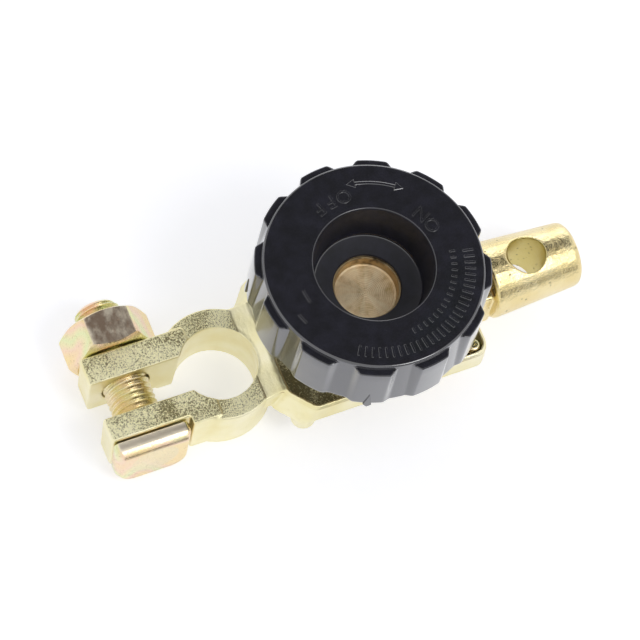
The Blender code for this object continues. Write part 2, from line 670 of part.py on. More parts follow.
def build_clamp_nut():
    """Hexagon nut with both faces chamfered, a flat facing up."""
    centre_y = NUT_EAR_FACE + GAP + NUT_THICKNESS / 2
    form = bmesh.new()
    bmesh.ops.create_cone(
        form, cap_ends=True, segments=6, radius1=NUT_ACROSS_FLATS / math.sqrt(3),
        radius2=NUT_ACROSS_FLATS / math.sqrt(3), depth=NUT_THICKNESS)
    mesh = bpy.data.meshes.new("clamp_nut")
    form.to_mesh(mesh)
    form.free()
    flat_up = (math.pi / 2, math.pi / 6, 0.0)
    place = (BOLT_X, centre_y, BOLT_HEIGHT)
    nut = add_part("clamp_nut", mesh, ZINC, place, flat_up)
    corner = NUT_ACROSS_FLATS / math.sqrt(3)
    face = NUT_ACROSS_FLATS / 2 * 0.97
    half = NUT_THICKNESS / 2
    chamfer_profile = [
        (0.0, half + GAP), (face - GAP, half + GAP), (corner + GAP, half - NUT_CHAMFER),
        (corner + GAP, NUT_CHAMFER - half), (face - GAP, -half - GAP), (0.0, -half - GAP)]
    half_facet = (math.pi / 2, math.pi / 6 + math.pi / MEDIUM, 0.0)
    combine(nut, turned_cutter("nut_chamfers", chamfer_profile, MEDIUM, place, half_facet), "INTERSECT")
    hole = cylinder_profile(BOLT_RADIUS + GAP, -NUT_THICKNESS, NUT_THICKNESS)
    cut(nut, turned_cutter("nut_hole", hole, MEDIUM, place, half_facet))


def knob_profile():
    """Return the closed section of the moulded knob, from the well mouth round to the well floor."""
    inner_skirt = LUG_RING_RADIUS - SKIRT_WALL
    roof = KNOB_TOP - KNOB_ROOF
    lug_top = KNOB_TOP - LUG_RING_DROP
    lip_radius = STUD_RECESS_RADIUS + GAP
    web_hole = STUD_HEAD_RADIUS + GAP
    lip_top = WELL_FLOOR_HEIGHT - WEB_SLOPE
    return (
        arc((WELL_MOUTH_RADIUS + WELL_MOUTH_ROUND, KNOB_TOP - WELL_MOUTH_ROUND), WELL_MOUTH_ROUND, 180, 90)
        + arc((KNOB_RIM_RADIUS - KNOB_RIM_ROUND, KNOB_TOP - KNOB_RIM_ROUND), KNOB_RIM_ROUND, 90, 0)
        + [(KNOB_RIM_RADIUS + GAP / 3, lug_top - GAP / 3)]
        + [(LUG_RING_RADIUS - 2 * GAP, lug_top - GAP / 3), (LUG_RING_RADIUS, lug_top - 2 * GAP)]
        + arc((LUG_RING_RADIUS + LUG_RING_DRAFT - 2 * GAP, KNOB_BOTTOM + 2 * GAP), 2 * GAP, 0, -90, 2)
        + [(inner_skirt + LUG_RING_DRAFT, KNOB_BOTTOM), (inner_skirt, roof)]
        + [(WELL_MOUTH_RADIUS + WELL_WALL, roof), (WELL_FLOOR_RADIUS + WELL_WALL, KNOB_BOTTOM)]
        + [(web_hole, KNOB_BOTTOM), (web_hole, lip_top - LIP_THICKNESS)]
        + [(lip_radius, lip_top - LIP_THICKNESS), (lip_radius, lip_top)]
        + arc((WELL_FLOOR_RADIUS - WELL_MOUTH_ROUND, WELL_FLOOR_HEIGHT + WELL_MOUTH_ROUND), WELL_MOUTH_ROUND, -80, 0)
    )


def build_knob():
    """Moulded knob with twelve grip lugs, stiffening ribs and four pointer tabs."""
    knob = add_part("knob", profile_mesh("knob", knob_profile(), closed=True), BLACK)
    spin(knob, FINE)
    pitch = math.tau / LUG_COUNT
    for i in range(LUG_COUNT):
        angle = LUG_PHASE + (i + 0.5) * pitch
        reach = LUG_RING_RADIUS + LUG_RING_DRAFT - SCOOP_DEPTH + SCOOP_RADIUS
        x, y = reach * math.cos(angle), reach * math.sin(angle)
        cut(knob, drill(f"scoop_{i + 1}", SCOOP_RADIUS, KNOB_BOTTOM - SCOOP_RADIUS, KNOB_TOP, COARSE, x, y))
    inner = WELL_FLOOR_RADIUS + WELL_WALL / 2
    outer = LUG_RING_RADIUS - SKIRT_WALL / 2
    roof = KNOB_TOP - KNOB_ROOF / 2
    for i in range(KNOB_RIB_COUNT):
        low = (inner, -KNOB_RIB_WIDTH / 2, KNOB_BOTTOM + KNOB_RIB_RISE)
        rib = block(f"knob_rib_{i + 1}", low, (outer, KNOB_RIB_WIDTH / 2, roof))
        rib.rotation_euler = (0.0, 0.0, LUG_PHASE + i * math.tau / KNOB_RIB_COUNT)
        join(knob, rib)
    for i in range(POINTER_COUNT):
        radius = LUG_RING_RADIUS + LUG_RING_DRAFT
        half = POINTER_WIDTH / 2
        outline = [(-half, 0.0), (0.0, -POINTER_DROP * 2), (half, 0.0), (0.0, POINTER_HEIGHT - POINTER_DROP)]
        mesh = plate_mesh(f"pointer_{i + 1}", outline, -SKIRT_WALL / 2, POINTER_PROUD)
        pointer = add_cutter(f"pointer_{i + 1}", mesh)
        angle = LUG_PHASE + i * math.tau / POINTER_COUNT
        stand = Matrix.Rotation(angle, 4, "Z") @ Matrix.Translation((radius, 0.0, KNOB_BOTTOM + POINTER_DROP))
        face_out = Matrix.Rotation(math.pi / 2, 4, "Y") @ Matrix.Rotation(math.pi / 2, 4, "Z")
        pointer.matrix_world = stand @ face_out
        join(knob, pointer)


def build_stud():
    """Brass stud whose hollow head shows in the knob's well, and the washer captive on its neck."""
    recess_floor = STUD_HEAD_TOP - STUD_RECESS_DEPTH
    neck_bottom = WASHER_BOTTOM - GAP
    fillet = 2 * GAP
    stud_profile = (
        [(0.0, recess_floor)]
        + arc((STUD_RECESS_FLOOR_RADIUS - fillet, recess_floor + fillet), fillet, -90, 0, 3)
        + [(STUD_RECESS_RADIUS, STUD_HEAD_TOP - GAP), (STUD_RECESS_RADIUS + GAP, STUD_HEAD_TOP)]
        + [(STUD_HEAD_RADIUS, STUD_HEAD_TOP), (STUD_HEAD_RADIUS, STUD_HEAD_BOTTOM)]
        + [(STUD_NECK_RADIUS, STUD_HEAD_BOTTOM), (STUD_NECK_RADIUS, neck_bottom)]
        + [(STUD_THREAD_RADIUS, neck_bottom - GAP), (STUD_THREAD_RADIUS, STUD_TIP + STUD_CHAMFER)]
        + [(STUD_THREAD_RADIUS - STUD_CHAMFER, STUD_TIP), (0.0, STUD_TIP)]
    )
    stud = add_part("contact_stud", profile_mesh("contact_stud", stud_profile), BRASS)
    spin(stud, MEDIUM)
    washer_profile = [
        (WASHER_BORE, WASHER_TOP), (WASHER_RADIUS - WASHER_CHAMFER, WASHER_TOP),
        (WASHER_RADIUS, WASHER_TOP - WASHER_CHAMFER), (WASHER_RADIUS, WASHER_BOTTOM + WASHER_CHAMFER),
        (WASHER_RADIUS - WASHER_CHAMFER, WASHER_BOTTOM), (WASHER_BORE, WASHER_BOTTOM)]
    washer = add_part("contact_washer", profile_mesh("contact_washer", washer_profile, closed=True), COPPER)
    spin(washer, MEDIUM)


def build_base_cap():
    """Insulating cap that covers the stud's end and gives the switch its flat foot."""
    flange_bottom = CAP_HEIGHT - CAP_FLANGE_THICKNESS
    hollow_radius = CAP_RADIUS - CAP_WALL
    cup_profile = (
        [(0.0, CAP_FLOOR), (hollow_radius, CAP_FLOOR), (hollow_radius, CAP_HEIGHT), (CAP_RADIUS, CAP_HEIGHT)]
        + arc((CAP_RADIUS - CAP_EDGE, CAP_EDGE), CAP_EDGE, 0, -90)
        + [(0.0, 0.0)]
    )
    cap = add_part("base_cap", profile_mesh("base_cap", cup_profile), FIBRE)
    spin(cap, MEDIUM)
    ends = (
        arc((CAP_SCREW_X, 0.0), CAP_FLANGE_RADIUS, -90, 90, 8)
        + arc((-CAP_SCREW_X, 0.0), CAP_FLANGE_RADIUS, 90, 270, 8)
    )
    flange = add_cutter("cap_flange", plate_mesh("cap_flange", ends, flange_bottom, CAP_HEIGHT - GAP / 3))
    cut(flange, drill("flange_bore", hollow_radius + CAP_WALL / 2, CAP_FLOOR, CAP_HEIGHT + GAP, MEDIUM))
    join(cap, flange)
    for place, x in (("left", -CAP_SCREW_X), ("right", CAP_SCREW_X)):
        cut(cap, drill("cap_hole_" + place, CAP_SCREW_HOLE, 0.0, CAP_HEIGHT + GAP, COARSE, x))


def screw_mesh(name, radius, head_radius, head_bottom, tip):
    """Return a pan-head screw with a cross recess, its head seated at a height and its tip below."""
    head_top = head_bottom + SCREW_HEAD_HEIGHT
    edge = SCREW_HEAD_HEIGHT / 2
    profile = (
        [(0.0, head_top)]
        + arc((head_radius - edge, head_top - edge), edge, 90, 0, 3)
        + [(head_radius, head_bottom), (radius, head_bottom)]
        + [(radius, tip + GAP), (radius - GAP, tip), (0.0, tip)]
    )
    blank = spin(add_cutter(name + "_blank", profile_mesh(name + "_blank", profile)), COARSE)
    arm = head_radius * 0.6
    half = SCREW_RECESS_WIDTH / 2
    floor = head_top - SCREW_RECESS_DEPTH
    cut(blank, block(name + "_recess_x", (-arm, -half, floor), (arm, half, head_top + GAP)))
    cut(blank, block(name + "_recess_y", (-half, -arm, floor), (half, arm, head_top + GAP)))
    bpy.context.view_layer.update()
    evaluated = blank.evaluated_get(bpy.context.evaluated_depsgraph_get())
    mesh = bpy.data.meshes.new_from_object(evaluated)
    mesh.name = name
    bpy.data.objects.remove(blank, do_unlink=True)
    return mesh


def build_corner_fixings():
    """Four screws with washers and insulating bushes: the right pair from above, the left from below."""
    flange_bottom = TRAY_FLOOR_TOP + GAP
    flange_top = flange_bottom + SCREW_BUSH_FLANGE
    washer_bottom = flange_top + GAP
    washer_top = washer_bottom + SCREW_WASHER_THICKNESS
    head_bottom = washer_top + GAP
    bush_profile = [
        (SCREW_HOLE, flange_top), (SCREW_BUSH_FLANGE_RADIUS, flange_top),
        (SCREW_BUSH_FLANGE_RADIUS, flange_bottom), (SCREW_BUSH_RADIUS, flange_bottom),
        (SCREW_BUSH_RADIUS, TRAY_FLOOR_BOTTOM), (SCREW_HOLE, TRAY_FLOOR_BOTTOM)]
    washer_profile = [
        (SCREW_HOLE, washer_top), (SCREW_HEAD_RADIUS, washer_top),
        (SCREW_HEAD_RADIUS, washer_bottom), (SCREW_HOLE, washer_bottom)]
    level = PLATE_BOTTOM + TRAY_FLOOR_TOP
    left_tip = level - TRAY_FLOOR_BOTTOM - LEFT_SCREW_REACH
    right_screw = screw_mesh("right_screw", SCREW_RADIUS, SCREW_HEAD_RADIUS, head_bottom, PLATE_BOTTOM)
    left_screw = screw_mesh("left_screw", SCREW_RADIUS, SCREW_HEAD_RADIUS, head_bottom, left_tip)
    bush = profile_mesh("corner_bush", bush_profile, closed=True)
    washer = profile_mesh("corner_washer", washer_profile, closed=True)
    upright = (0.0, 0.0, 0.0)
    upside_down = (math.pi, 0.0, 0.0)
    stacks = [(place, right_screw, (x, y, 0.0), upright) for place, x, y in RIGHT_SCREW_PLACES]
    stacks += [(place, left_screw, (x, y, level), upside_down) for place, x, y in LEFT_SCREW_PLACES]
    for place, screw, at, turn in stacks:
        add_part("corner_screw_" + place, screw, ZINC, at, turn)
        spin(add_part("corner_washer_" + place, washer, ZINC, at, turn), COARSE)
        spin(add_part("corner_bush_" + place, bush, FIBRE, at, turn), COARSE)


def build_cap_screws():
    """Two screws that hold the base cap, their heads facing down."""
    seat = CAP_HEIGHT - CAP_FLANGE_THICKNESS - GAP
    mesh = screw_mesh("cap_screw", CAP_SCREW_RADIUS, CAP_SCREW_HEAD_RADIUS, 0.0, -CAP_SCREW_REACH)
    for place, x in (("left", -CAP_SCREW_X), ("right", CAP_SCREW_X)):
        add_part("cap_screw_" + place, mesh, ZINC, (x, 0.0, seat), (math.pi, 0.0, 0.0))


def shade_round_pieces():
    """Shade the turned and cast pieces smooth, with their edges kept sharp."""
    for part in PARTS.objects:
        part.data.shade_smooth()
        if len(part.data.polygons) > 0:
            part.data.set_sharp_from_angle(angle=math.radians(35.0))


build_clamp_casting()
build_post_casting()
build_insulation()
build_clamp_bolt()
build_clamp_nut()
build_knob()
build_stud()
build_base_cap()
build_corner_fixings()
build_cap_screws()
shade_round_pieces()
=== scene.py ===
"""Battery disconnect switch: a gold-plated post clamp and tray, a dummy battery post and a
glossy black screw-down knob, laid out as an add-on whose operators make one group of pieces each.
"""

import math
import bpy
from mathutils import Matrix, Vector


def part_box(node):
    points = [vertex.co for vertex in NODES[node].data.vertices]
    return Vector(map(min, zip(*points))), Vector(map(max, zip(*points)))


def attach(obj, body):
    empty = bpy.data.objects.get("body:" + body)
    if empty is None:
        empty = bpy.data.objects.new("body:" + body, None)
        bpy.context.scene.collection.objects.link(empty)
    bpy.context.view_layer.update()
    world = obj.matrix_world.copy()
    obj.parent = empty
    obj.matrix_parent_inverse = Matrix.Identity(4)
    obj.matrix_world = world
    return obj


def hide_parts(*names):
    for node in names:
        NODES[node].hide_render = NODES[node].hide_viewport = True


bl_info = {
    "name": "Battery Disconnect Switch",
    "version": (1, 0, 0),
    "blender": (4, 5, 0),
    "location": "View3D > Sidebar > Switch",
    "description": "Makes a battery disconnect switch with its clamp, knob and dummy post",
    "category": "Object",
}

import bmesh
import bpy
from mathutils import Matrix, Vector

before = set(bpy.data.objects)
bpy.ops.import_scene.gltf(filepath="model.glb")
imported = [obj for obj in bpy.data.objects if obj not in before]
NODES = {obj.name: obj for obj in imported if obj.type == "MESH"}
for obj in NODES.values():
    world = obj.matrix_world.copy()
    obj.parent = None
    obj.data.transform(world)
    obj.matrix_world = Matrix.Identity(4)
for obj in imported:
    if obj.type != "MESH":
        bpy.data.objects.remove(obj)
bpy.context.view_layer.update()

MM = 0.001
MERGED = 0.000002
WHITE = (1.0, 1.0, 1.0)
KNOB_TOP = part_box("knob")[1].z
STUD_LOW, STUD_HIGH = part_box("contact_stud")
BOLT_LOW, BOLT_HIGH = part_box("clamp_bolt")
NUT_LOW, NUT_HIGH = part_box("clamp_nut")
BOLT_X = (NUT_LOW.x + NUT_HIGH.x) / 2
BOLT_Z = (NUT_LOW.z + NUT_HIGH.z) / 2
SCREW_CORNERS = ("left_front", "left_back", "right_front", "right_back")
LUG_COUNT = 12
RIB_COUNT = 6
POINTER_COUNT = 4

# millimetres: the skirt's height, and the drop from the top to the ledge where the lugs begin
SKIRT_HEIGHT = 13.9
LEDGE_DROP = 1.0

# the knob's section inside its skirt and its well: radius and height above the skirt's foot, in millimetres
KNOB_INSIDE = (
    (21.95, 0.0), (21.8, 0.15), (21.6, 6.0), (21.5, 11.2), (21.1, 11.7), (14.6, 11.7), (14.0, 11.3),
    (13.5, 6.0), (13.05, 0.2), (12.85, 0.0), (9.05, 0.0), (8.85, 0.2), (8.8, 2.9), (7.2, 3.0), (6.98, 3.1),
    (6.95, 3.45), (7.1, 3.68), (8.5, 4.0), (10.4, 4.45), (10.95, 4.62), (11.18, 4.95), (11.3, 6.0),
    (11.7, 9.5), (12.1, 12.6))


def length(title, text, value):
    """A length property in metres."""
    return bpy.props.FloatProperty(name=title, description=text, default=value, unit="LENGTH", precision=5)


def ratio(title, text, value):
    """A plain number property."""
    return bpy.props.FloatProperty(name=title, description=text, default=value, precision=3)


def colour(title, text, value):
    """A linear colour property."""
    return bpy.props.FloatVectorProperty(
        name=title, description=text, default=value, subtype="COLOR", size=3, min=0.0, max=1.0)


class StageSettings(bpy.types.PropertyGroup):
    """Floor, lamps and camera."""
    floor_radius: length("Floor Radius", "Radius of the round pale floor", 2.5)
    floor_grey: ratio("Floor Grey", "How pale the floor is under the lamps", 0.80)
    floor_glow: ratio("Floor Glow", "What the floor gains where the camera or a reflection sees it", 0.475)
    key_power: ratio("Key Lamp Power", "Power of the lamp in front of the part, in watts", 2.8)
    back_power: ratio("Back Lamp Power", "Power of the lamp behind the part, in watts", 1.1)
    sky_level: ratio("Sky Level", "Strength of the even light from all around", 0.58)
    lens: ratio("Lens", "Focal length of the camera, in millimetres", 137.87)


class CastingSettings(bpy.types.PropertyGroup):
    """The two gold-plated castings."""
    skin: length("Skin Grid", "Grid size of the skin laid over the castings", 0.00021)
    grain_height: length("Grain Height", "How far the sand grain stands up", 0.00005)
    gold: colour("Plating", "Colour of the pale gold plating", (0.87, 0.81, 0.51))
    grime: colour("Grain Shade", "Colour of the dark specks between the grains", (0.105, 0.085, 0.035))


class KnobSettings(bpy.types.PropertyGroup):
    """The moulded knob."""
    rim_radius: length("Rim Radius", "Radius of the plain rim above the lugs", 0.0223)
    lug_radius: length("Lug Radius", "Radius over the lugs at their top", 0.0238)
    foot_radius: length("Foot Radius", "Radius over the lugs at the open edge", 0.0241)
    gap_width: length("Gap Width", "Width of the gap between two lugs", 0.0054)
    lug_phase: ratio("Lug Phase", "Angle of the first lug from the dummy post, in degrees", 68.0)
    mark_height: length("Mark Height", "How far the moulded marks stand up", 0.00014)
    black: colour("Plastic", "Colour of the knob's plastic", (0.016, 0.016, 0.021))


class StudSettings(bpy.types.PropertyGroup):
    """The brass stud and its captive washer."""
    pitch: length("Thread Pitch", "Rise of the stud for each turn", 0.00175)
    brass: colour("Brass", "Colour of the turned brass", (0.93, 0.73, 0.46))
    copper: colour("Copper", "Colour of the contact washer", (0.62, 0.36, 0.22))


class BoltSettings(bpy.types.PropertyGroup):
    """The clamp bolt, its nut and the small screws."""
    pitch: length("Thread Pitch", "Distance between two crests of the bolt's thread", 0.00125)
    depth: length("Thread Depth", "Depth of the bolt's thread", 0.00068)
    zinc: colour("Zinc", "Colour of the yellow passivated zinc", (0.82, 0.75, 0.45))


def feed(tree, socket, value):
    """Link an output to a socket, or set the socket's value."""
    if isinstance(value, Wire):
        value = value.socket
    if isinstance(value, bpy.types.NodeSocket):
        tree.links.new(value, socket)
    elif socket.type == "RGBA":
        socket.default_value = (*value[:3], 1.0)
    else:
        socket.default_value = value


def add_node(tree, kind, settings=None, inputs=None):
    """Add a node: its settings first, then the values or links of its sockets."""
    node = tree.nodes.new(kind)
    for name, value in (settings or {}).items():
        if name == "stops":
            ramp = node.color_ramp
            while len(ramp.elements) < len(value):
                ramp.elements.new(0.5)
            for element, (position, shade) in zip(ramp.elements, value):
                element.position = position
                element.color = (*shade, 1.0)
        else:
            setattr(node, name, value)
    for name, value in (inputs or {}).items():
        feed(tree, node.inputs[name], value)
    return node


def wired(tree, kind, settings=None, inputs=None, output=0):
    """Add a node and take one of its outputs as a wire."""
    return Wire(tree, add_node(tree, kind, settings, inputs).outputs[output])


class Wire:
    """A node's output. Arithmetic on it adds Math nodes."""

    def __init__(self, tree, socket):
        self.tree = tree
        self.socket = socket

    def calculate(self, operation, *values):
        """Add one Math node."""
        return wired(self.tree, "ShaderNodeMath", {"operation": operation}, dict(enumerate(values)))

    def __add__(self, other):
        return self.calculate("ADD", self, other)

    def __radd__(self, other):
        return self.calculate("ADD", other, self)

    def __sub__(self, other):
        return self.calculate("SUBTRACT", self, other)

    def __rsub__(self, other):
        return self.calculate("SUBTRACT", other, self)

    def __mul__(self, other):
        return self.calculate("MULTIPLY", self, other)

    def __rmul__(self, other):
        return self.calculate("MULTIPLY", other, self)

    def __pow__(self, other):
        return self.calculate("POWER", self, other)

    def sine(self):
        """The sine of this value in radians."""
        return self.calculate("SINE", self)

    def unsigned(self):
        """This value without its sign."""
        return self.calculate("ABSOLUTE", self)

    def above(self, level):
        """1 where this value is above a level, or else 0."""
        return self.calculate("GREATER_THAN", self, level)

    def most(self, other):
        """The greater of two values."""
        return self.calculate("MAXIMUM", self, other)

    def step(self, start, end):
        """Rise smoothly from 0 at start to 1 at end."""
        return wired(self.tree, "ShaderNodeMapRange", {"interpolation_type": "SMOOTHSTEP"},
                     {"Value": self, "From Min": start, "From Max": end})


class Finish:
    """A material in the making. Its x, y and z are places in millimetres, and up is the normal's rise."""

    def __init__(self, name, metallic):
        self.material = bpy.data.materials.new(name)
        self.material.use_nodes = True
        self.tree = self.material.node_tree
        self.shader = self.tree.nodes["Principled BSDF"]
        self.set("Metallic", metallic)
        self.place = wired(self.tree, "ShaderNodeTexCoord", output="Object")
        self.mm = self.vector("SCALE", {0: self.place, "Scale": 1.0 / MM})
        self.x, self.y, self.z = self.split(self.mm)
        self.up = self.split(wired(self.tree, "ShaderNodeNewGeometry", output="Normal"))[2]

    def set(self, name, value):
        """Set or link one socket of the Principled shader."""
        feed(self.tree, self.shader.inputs[name], value)

    def vector(self, operation, inputs):
        """Add one Vector Math node."""
        return wired(self.tree, "ShaderNodeVectorMath", {"operation": operation}, inputs)

    def split(self, wire):
        """The three parts of a vector."""
        node = add_node(self.tree, "ShaderNodeSeparateXYZ", inputs={0: wire})
        return [Wire(self.tree, output) for output in node.outputs]

    def grain(self, scale, detail=3.0, roughness=0.55, stretch=(1.0, 1.0, 1.0), turn=(0.0, 0.0, 0.0),
              distortion=0.0):
        """Noise with a number of features for each millimetre, stretched or turned if asked."""
        where = wired(self.tree, "ShaderNodeMapping", {"vector_type": "POINT"},
                      {"Vector": self.mm, "Rotation": turn, "Scale": stretch})
        return wired(self.tree, "ShaderNodeTexNoise", {"noise_dimensions": "3D"},
                     {"Vector": where, "Scale": scale, "Detail": detail, "Roughness": roughness,
                      "Distortion": distortion})

    def pits(self, scale):
        """Distance to the nearest of scattered points."""
        return wired(self.tree, "ShaderNodeTexVoronoi", {"feature": "F1"},
                     {"Vector": self.mm, "Scale": scale})

    def mix(self, factor, first, second):
        """Mix two colours."""
        return wired(self.tree, "ShaderNodeMix", {"data_type": "RGBA", "clamp_factor": True},
                     {0: factor, 6: first, 7: second}, 2)

    def ramp(self, wire, stops):
        """A colour ramp over a value."""
        return wired(self.tree, "ShaderNodeValToRGB", {"stops": stops}, {0: wire})

    def away(self, first, second):
        """Distance from an axis, from the two distances across it."""
        return (first * first + second * second) ** 0.5

    def complete(self, tint, roughness, relief, distance, strength):
        """Set the colour, the roughness and the Bump node, with its distance in millimetres."""
        self.set("Base Color", tint)
        self.set("Roughness", roughness)
        self.set("Normal", wired(self.tree, "ShaderNodeBump", None,
                                 {"Height": relief, "Distance": distance * MM, "Strength": strength}))
        return self.material


def scaled(shade, red, green, blue):
    """A colour with each of its parts scaled, none past 1."""
    return tuple(min(part * share, 1.0) for part, share in zip(shade, (red, green, blue)))


def cast_gold(name, settings):
    """Pale gold plating over a sand casting: bright drafted sides, speckled tops, and a rough tray floor
    whose specks spread and go near black as painted shadow under the knob.
    """
    finish = Finish(name, 1.0)
    gold = tuple(settings.gold)
    grime = tuple(settings.grime)
    upward = finish.up.step(0.84, 0.985)
    in_tray = finish.z.step(13.6, 13.0) * finish.x.step(-20.5, -19.8) * finish.z.step(11.6, 12.0)
    on_jaws = finish.x.step(-24.3, -24.9) * finish.z.step(13.6, 14.2)
    rough_top = upward * in_tray.most(on_jaws)
    on_floor = upward * in_tray
    grit = finish.grain(2.6, 4.0, 0.72)
    fine = finish.grain(5.2, 2.0, 0.6)
    wide = finish.grain(0.15, 2.0, 0.5)
    level = grit * 0.66 + fine * 0.34 + (wide - 0.5) * 0.30
    # The tray floor's dark specks spread wider here. The grain's own specks are deepened there as painted
    # shadow under the knob.
    dark = level.step(on_floor * 0.105 + 0.490, on_floor * 0.105 + 0.445) * rough_top
    bright = level.step(on_floor * 0.07 + 0.48, on_floor * 0.07 + 0.54) * rough_top
    tint = finish.ramp(wide, [(0.3, scaled(gold, 0.95, 0.92, 0.80)), (0.5, gold),
                              (0.72, scaled(gold, 1.04, 1.05, 1.2))])
    dark_patch = finish.grain(0.55, 4.0, 0.6).step(0.62, 0.80) * 0.30
    tint = finish.mix(dark_patch, tint, scaled(gold, 0.72, 0.62, 0.38))
    tint = finish.mix(bright * 0.9, tint, (1.0, 0.97, 0.68))
    # Painted shadow: on the tray floor the speck colour drops near black for the shade under the knob.
    # Elsewhere it is the grain's own dark specks.
    shade = finish.mix(on_floor, grime, scaled(grime, 0.12, 0.13, 0.22))
    seam = finish.z.step(15.50, 15.66) * finish.z.step(15.96, 15.80) * finish.up.step(0.55, 0.35)
    tint = finish.mix(seam * 0.65, tint, (0.30, 0.15, 0.06))
    tint = finish.mix(dark * 0.78, tint, shade)
    roughness = 0.28 + fine * 0.08 + rough_top * 0.25 - on_floor * 0.12
    relief = rough_top * (grit * 0.70 + fine * 0.30) + (1.0 - rough_top) * grit * 0.12
    return finish.complete(tint, roughness, relief, 0.62, 0.9)


def post_gold(name, settings):
    """The same plating on the dummy post: brighter, slightly wavy, with pits and a rougher cross hole whose
    inside is painted darker as shade.
    """
    finish = Finish(name, 1.0)
    gold = tuple(settings.gold)
    hole_x, hole_radius = 38.2, 4.15
    peel = finish.grain(1.5, 3.0, 0.6, stretch=(1.0, 0.7, 0.7))
    fine = finish.grain(5.0, 2.0, 0.6)
    wide = finish.grain(0.16, 3.0, 0.5)
    warm = scaled(gold, 0.97, 0.90, 0.84)
    tint = finish.mix(wide.step(0.35, 0.7), scaled(warm, 0.94, 0.90, 0.78), warm)
    # Painted shade: the inside of the cross hole is darkened in colour. Its added roughness and pits are
    # real.
    in_hole = finish.away(finish.x - hole_x, finish.y).step(hole_radius + 0.3, hole_radius)
    tint = finish.mix(in_hole * 0.75, tint, scaled(warm, 0.72, 0.72, 0.40))
    pitted = (finish.grain(0.5, 2.0, 0.5) + in_hole * 0.12).step(0.50, 0.60)
    pit = finish.pits(0.75).step(0.22, 0.10) * pitted
    tint = finish.mix(pit * 0.75, tint, tuple(settings.grime))
    roughness = 0.09 + fine * 0.10 + pit * 0.2 + in_hole * 0.2
    return finish.complete(tint, roughness, peel * 0.20 + fine * 0.12 - pit * 0.12, 0.55, 0.8)


def yellow_zinc(name, settings):
    """Yellow passivated zinc under a pink and green film, with a brown etched patch on top of the nut."""
    finish = Finish(name, 1.0)
    zinc = tuple(settings.zinc)
    film = finish.grain(0.080, 1.5, 0.5, turn=(0.4, 0.2, 0.1), distortion=0.2)
    tint = finish.ramp(film, [
        (0.36, (0.93, 0.70, 0.33)), (0.43, (0.91, 0.63, 0.50)), (0.48, zinc), (0.52, (0.73, 0.79, 0.45)),
        (0.56, zinc), (0.61, (0.90, 0.60, 0.48)), (0.67, (0.92, 0.70, 0.34))])
    tint = finish.mix(0.28, tint, zinc)
    dull = finish.grain(1.6, 4.0, 0.6).step(0.52, 0.74)
    tint = finish.mix(dull * 0.35, tint, (0.42, 0.34, 0.17))
    clamp_top = finish.up.step(0.9, 0.99) * finish.x.step(-37.0, -39.0)
    tint = finish.mix(clamp_top, tint, (0.92, 0.82, 0.66))
    etched = finish.grain(0.50, 4.0, 0.62, stretch=(1.0, 0.6, 1.0)).step(0.70, 0.34)
    etched = etched * clamp_top * finish.y.step(3.0, 5.0)
    tint = finish.mix(etched * 0.80, tint, (0.24, 0.14, 0.09))
    from_axis = finish.away(finish.x - BOLT_X / MM, finish.z - BOLT_Z / MM)
    on_thread = from_axis.step(5.3, 5.0) * finish.y.step(8.0, 7.0)
    tint = finish.mix(on_thread * 0.7, tint, (0.80, 0.71, 0.46))
    scratch = finish.grain(1.3, 2.0, 0.5, (7.0, 0.5, 0.5), (0.3, 0.2, 0.6))
    roughness = 0.20 + dull * 0.14 + scratch * 0.08 + clamp_top * 0.16
    relief = scratch * 0.25 + finish.grain(2.4, 3.0, 0.6) * 0.45
    return finish.complete(tint, roughness, relief, 0.12, 0.6)


def turned_brass(name, settings):
    """Turned brass with concentric tool rings on the faces, a painted fan-shaped highlight on the flat faces,
    painted shade from the recess wall outwards, and a darker patch on the far right of the recess wall.
    """
    finish = Finish(name, 1.0)
    brass = tuple(settings.brass)
    reach = finish.away(finish.x, finish.y)
    wobble = finish.grain(0.5, 2.0, 0.5)
    level = finish.up.unsigned().step(0.7, 0.95)
    across = reach * level + finish.z * (1.0 - level)
    rings = (across * 16.5 + wobble * 2.0).sine() * 0.5 + (across * 41.0 + wobble * 5.0).sine() * 0.25
    blotch = finish.grain(0.45, 4.0, 0.6)
    tint = finish.ramp(blotch, [(0.3, scaled(brass, 0.72, 0.66, 0.50)), (0.5, brass),
                                (0.7, scaled(brass, 1.1, 1.15, 1.25))])
    tint = finish.mix((rings * 0.5 + 0.5) * 0.16, tint, scaled(brass, 0.5, 0.42, 0.3))
    # Darker towards the far right of the recess wall.
    dark_patch = finish.grain(0.42, 2.0, 0.5).step(0.40, 0.62) * finish.y.step(2.6, 5.0)
    dark_patch = dark_patch * reach.step(5.9, 6.3) * finish.z.step(27.0, 27.6) * finish.x.step(-1.5, 1.5)
    # Painted highlight: bright fan-shaped streaks on the flat faces stand in for the spread reflection of the
    # turned surface.
    flat = finish.vector("MULTIPLY", {0: finish.place, 1: (1.0, 1.0, 0.0)})
    painted_fan_highlight = wired(finish.tree, "ShaderNodeTexNoise", None,
                   {"Vector": finish.vector("NORMALIZE", {0: flat}), "Scale": 2.4})
    tint = finish.mix(painted_fan_highlight.step(0.44, 0.62) * level * 0.4, tint, (1.0, 0.88, 0.66))
    # Painted shade: the recess wall and everything outside it are darkened, which also dims the light lines
    # at the recess fillet and top edge.
    tint = finish.mix(reach.step(6.25, 6.4) * 0.72, tint, scaled(brass, 0.34, 0.29, 0.20))
    tint = finish.mix(dark_patch * 0.85, tint, (0.05, 0.035, 0.02))
    relief = rings + finish.grain(5.0, 2.0, 0.6) * 0.5
    return finish.complete(tint, 0.40 + blotch * 0.14 + rings * 0.05, relief, 0.030, 0.9)


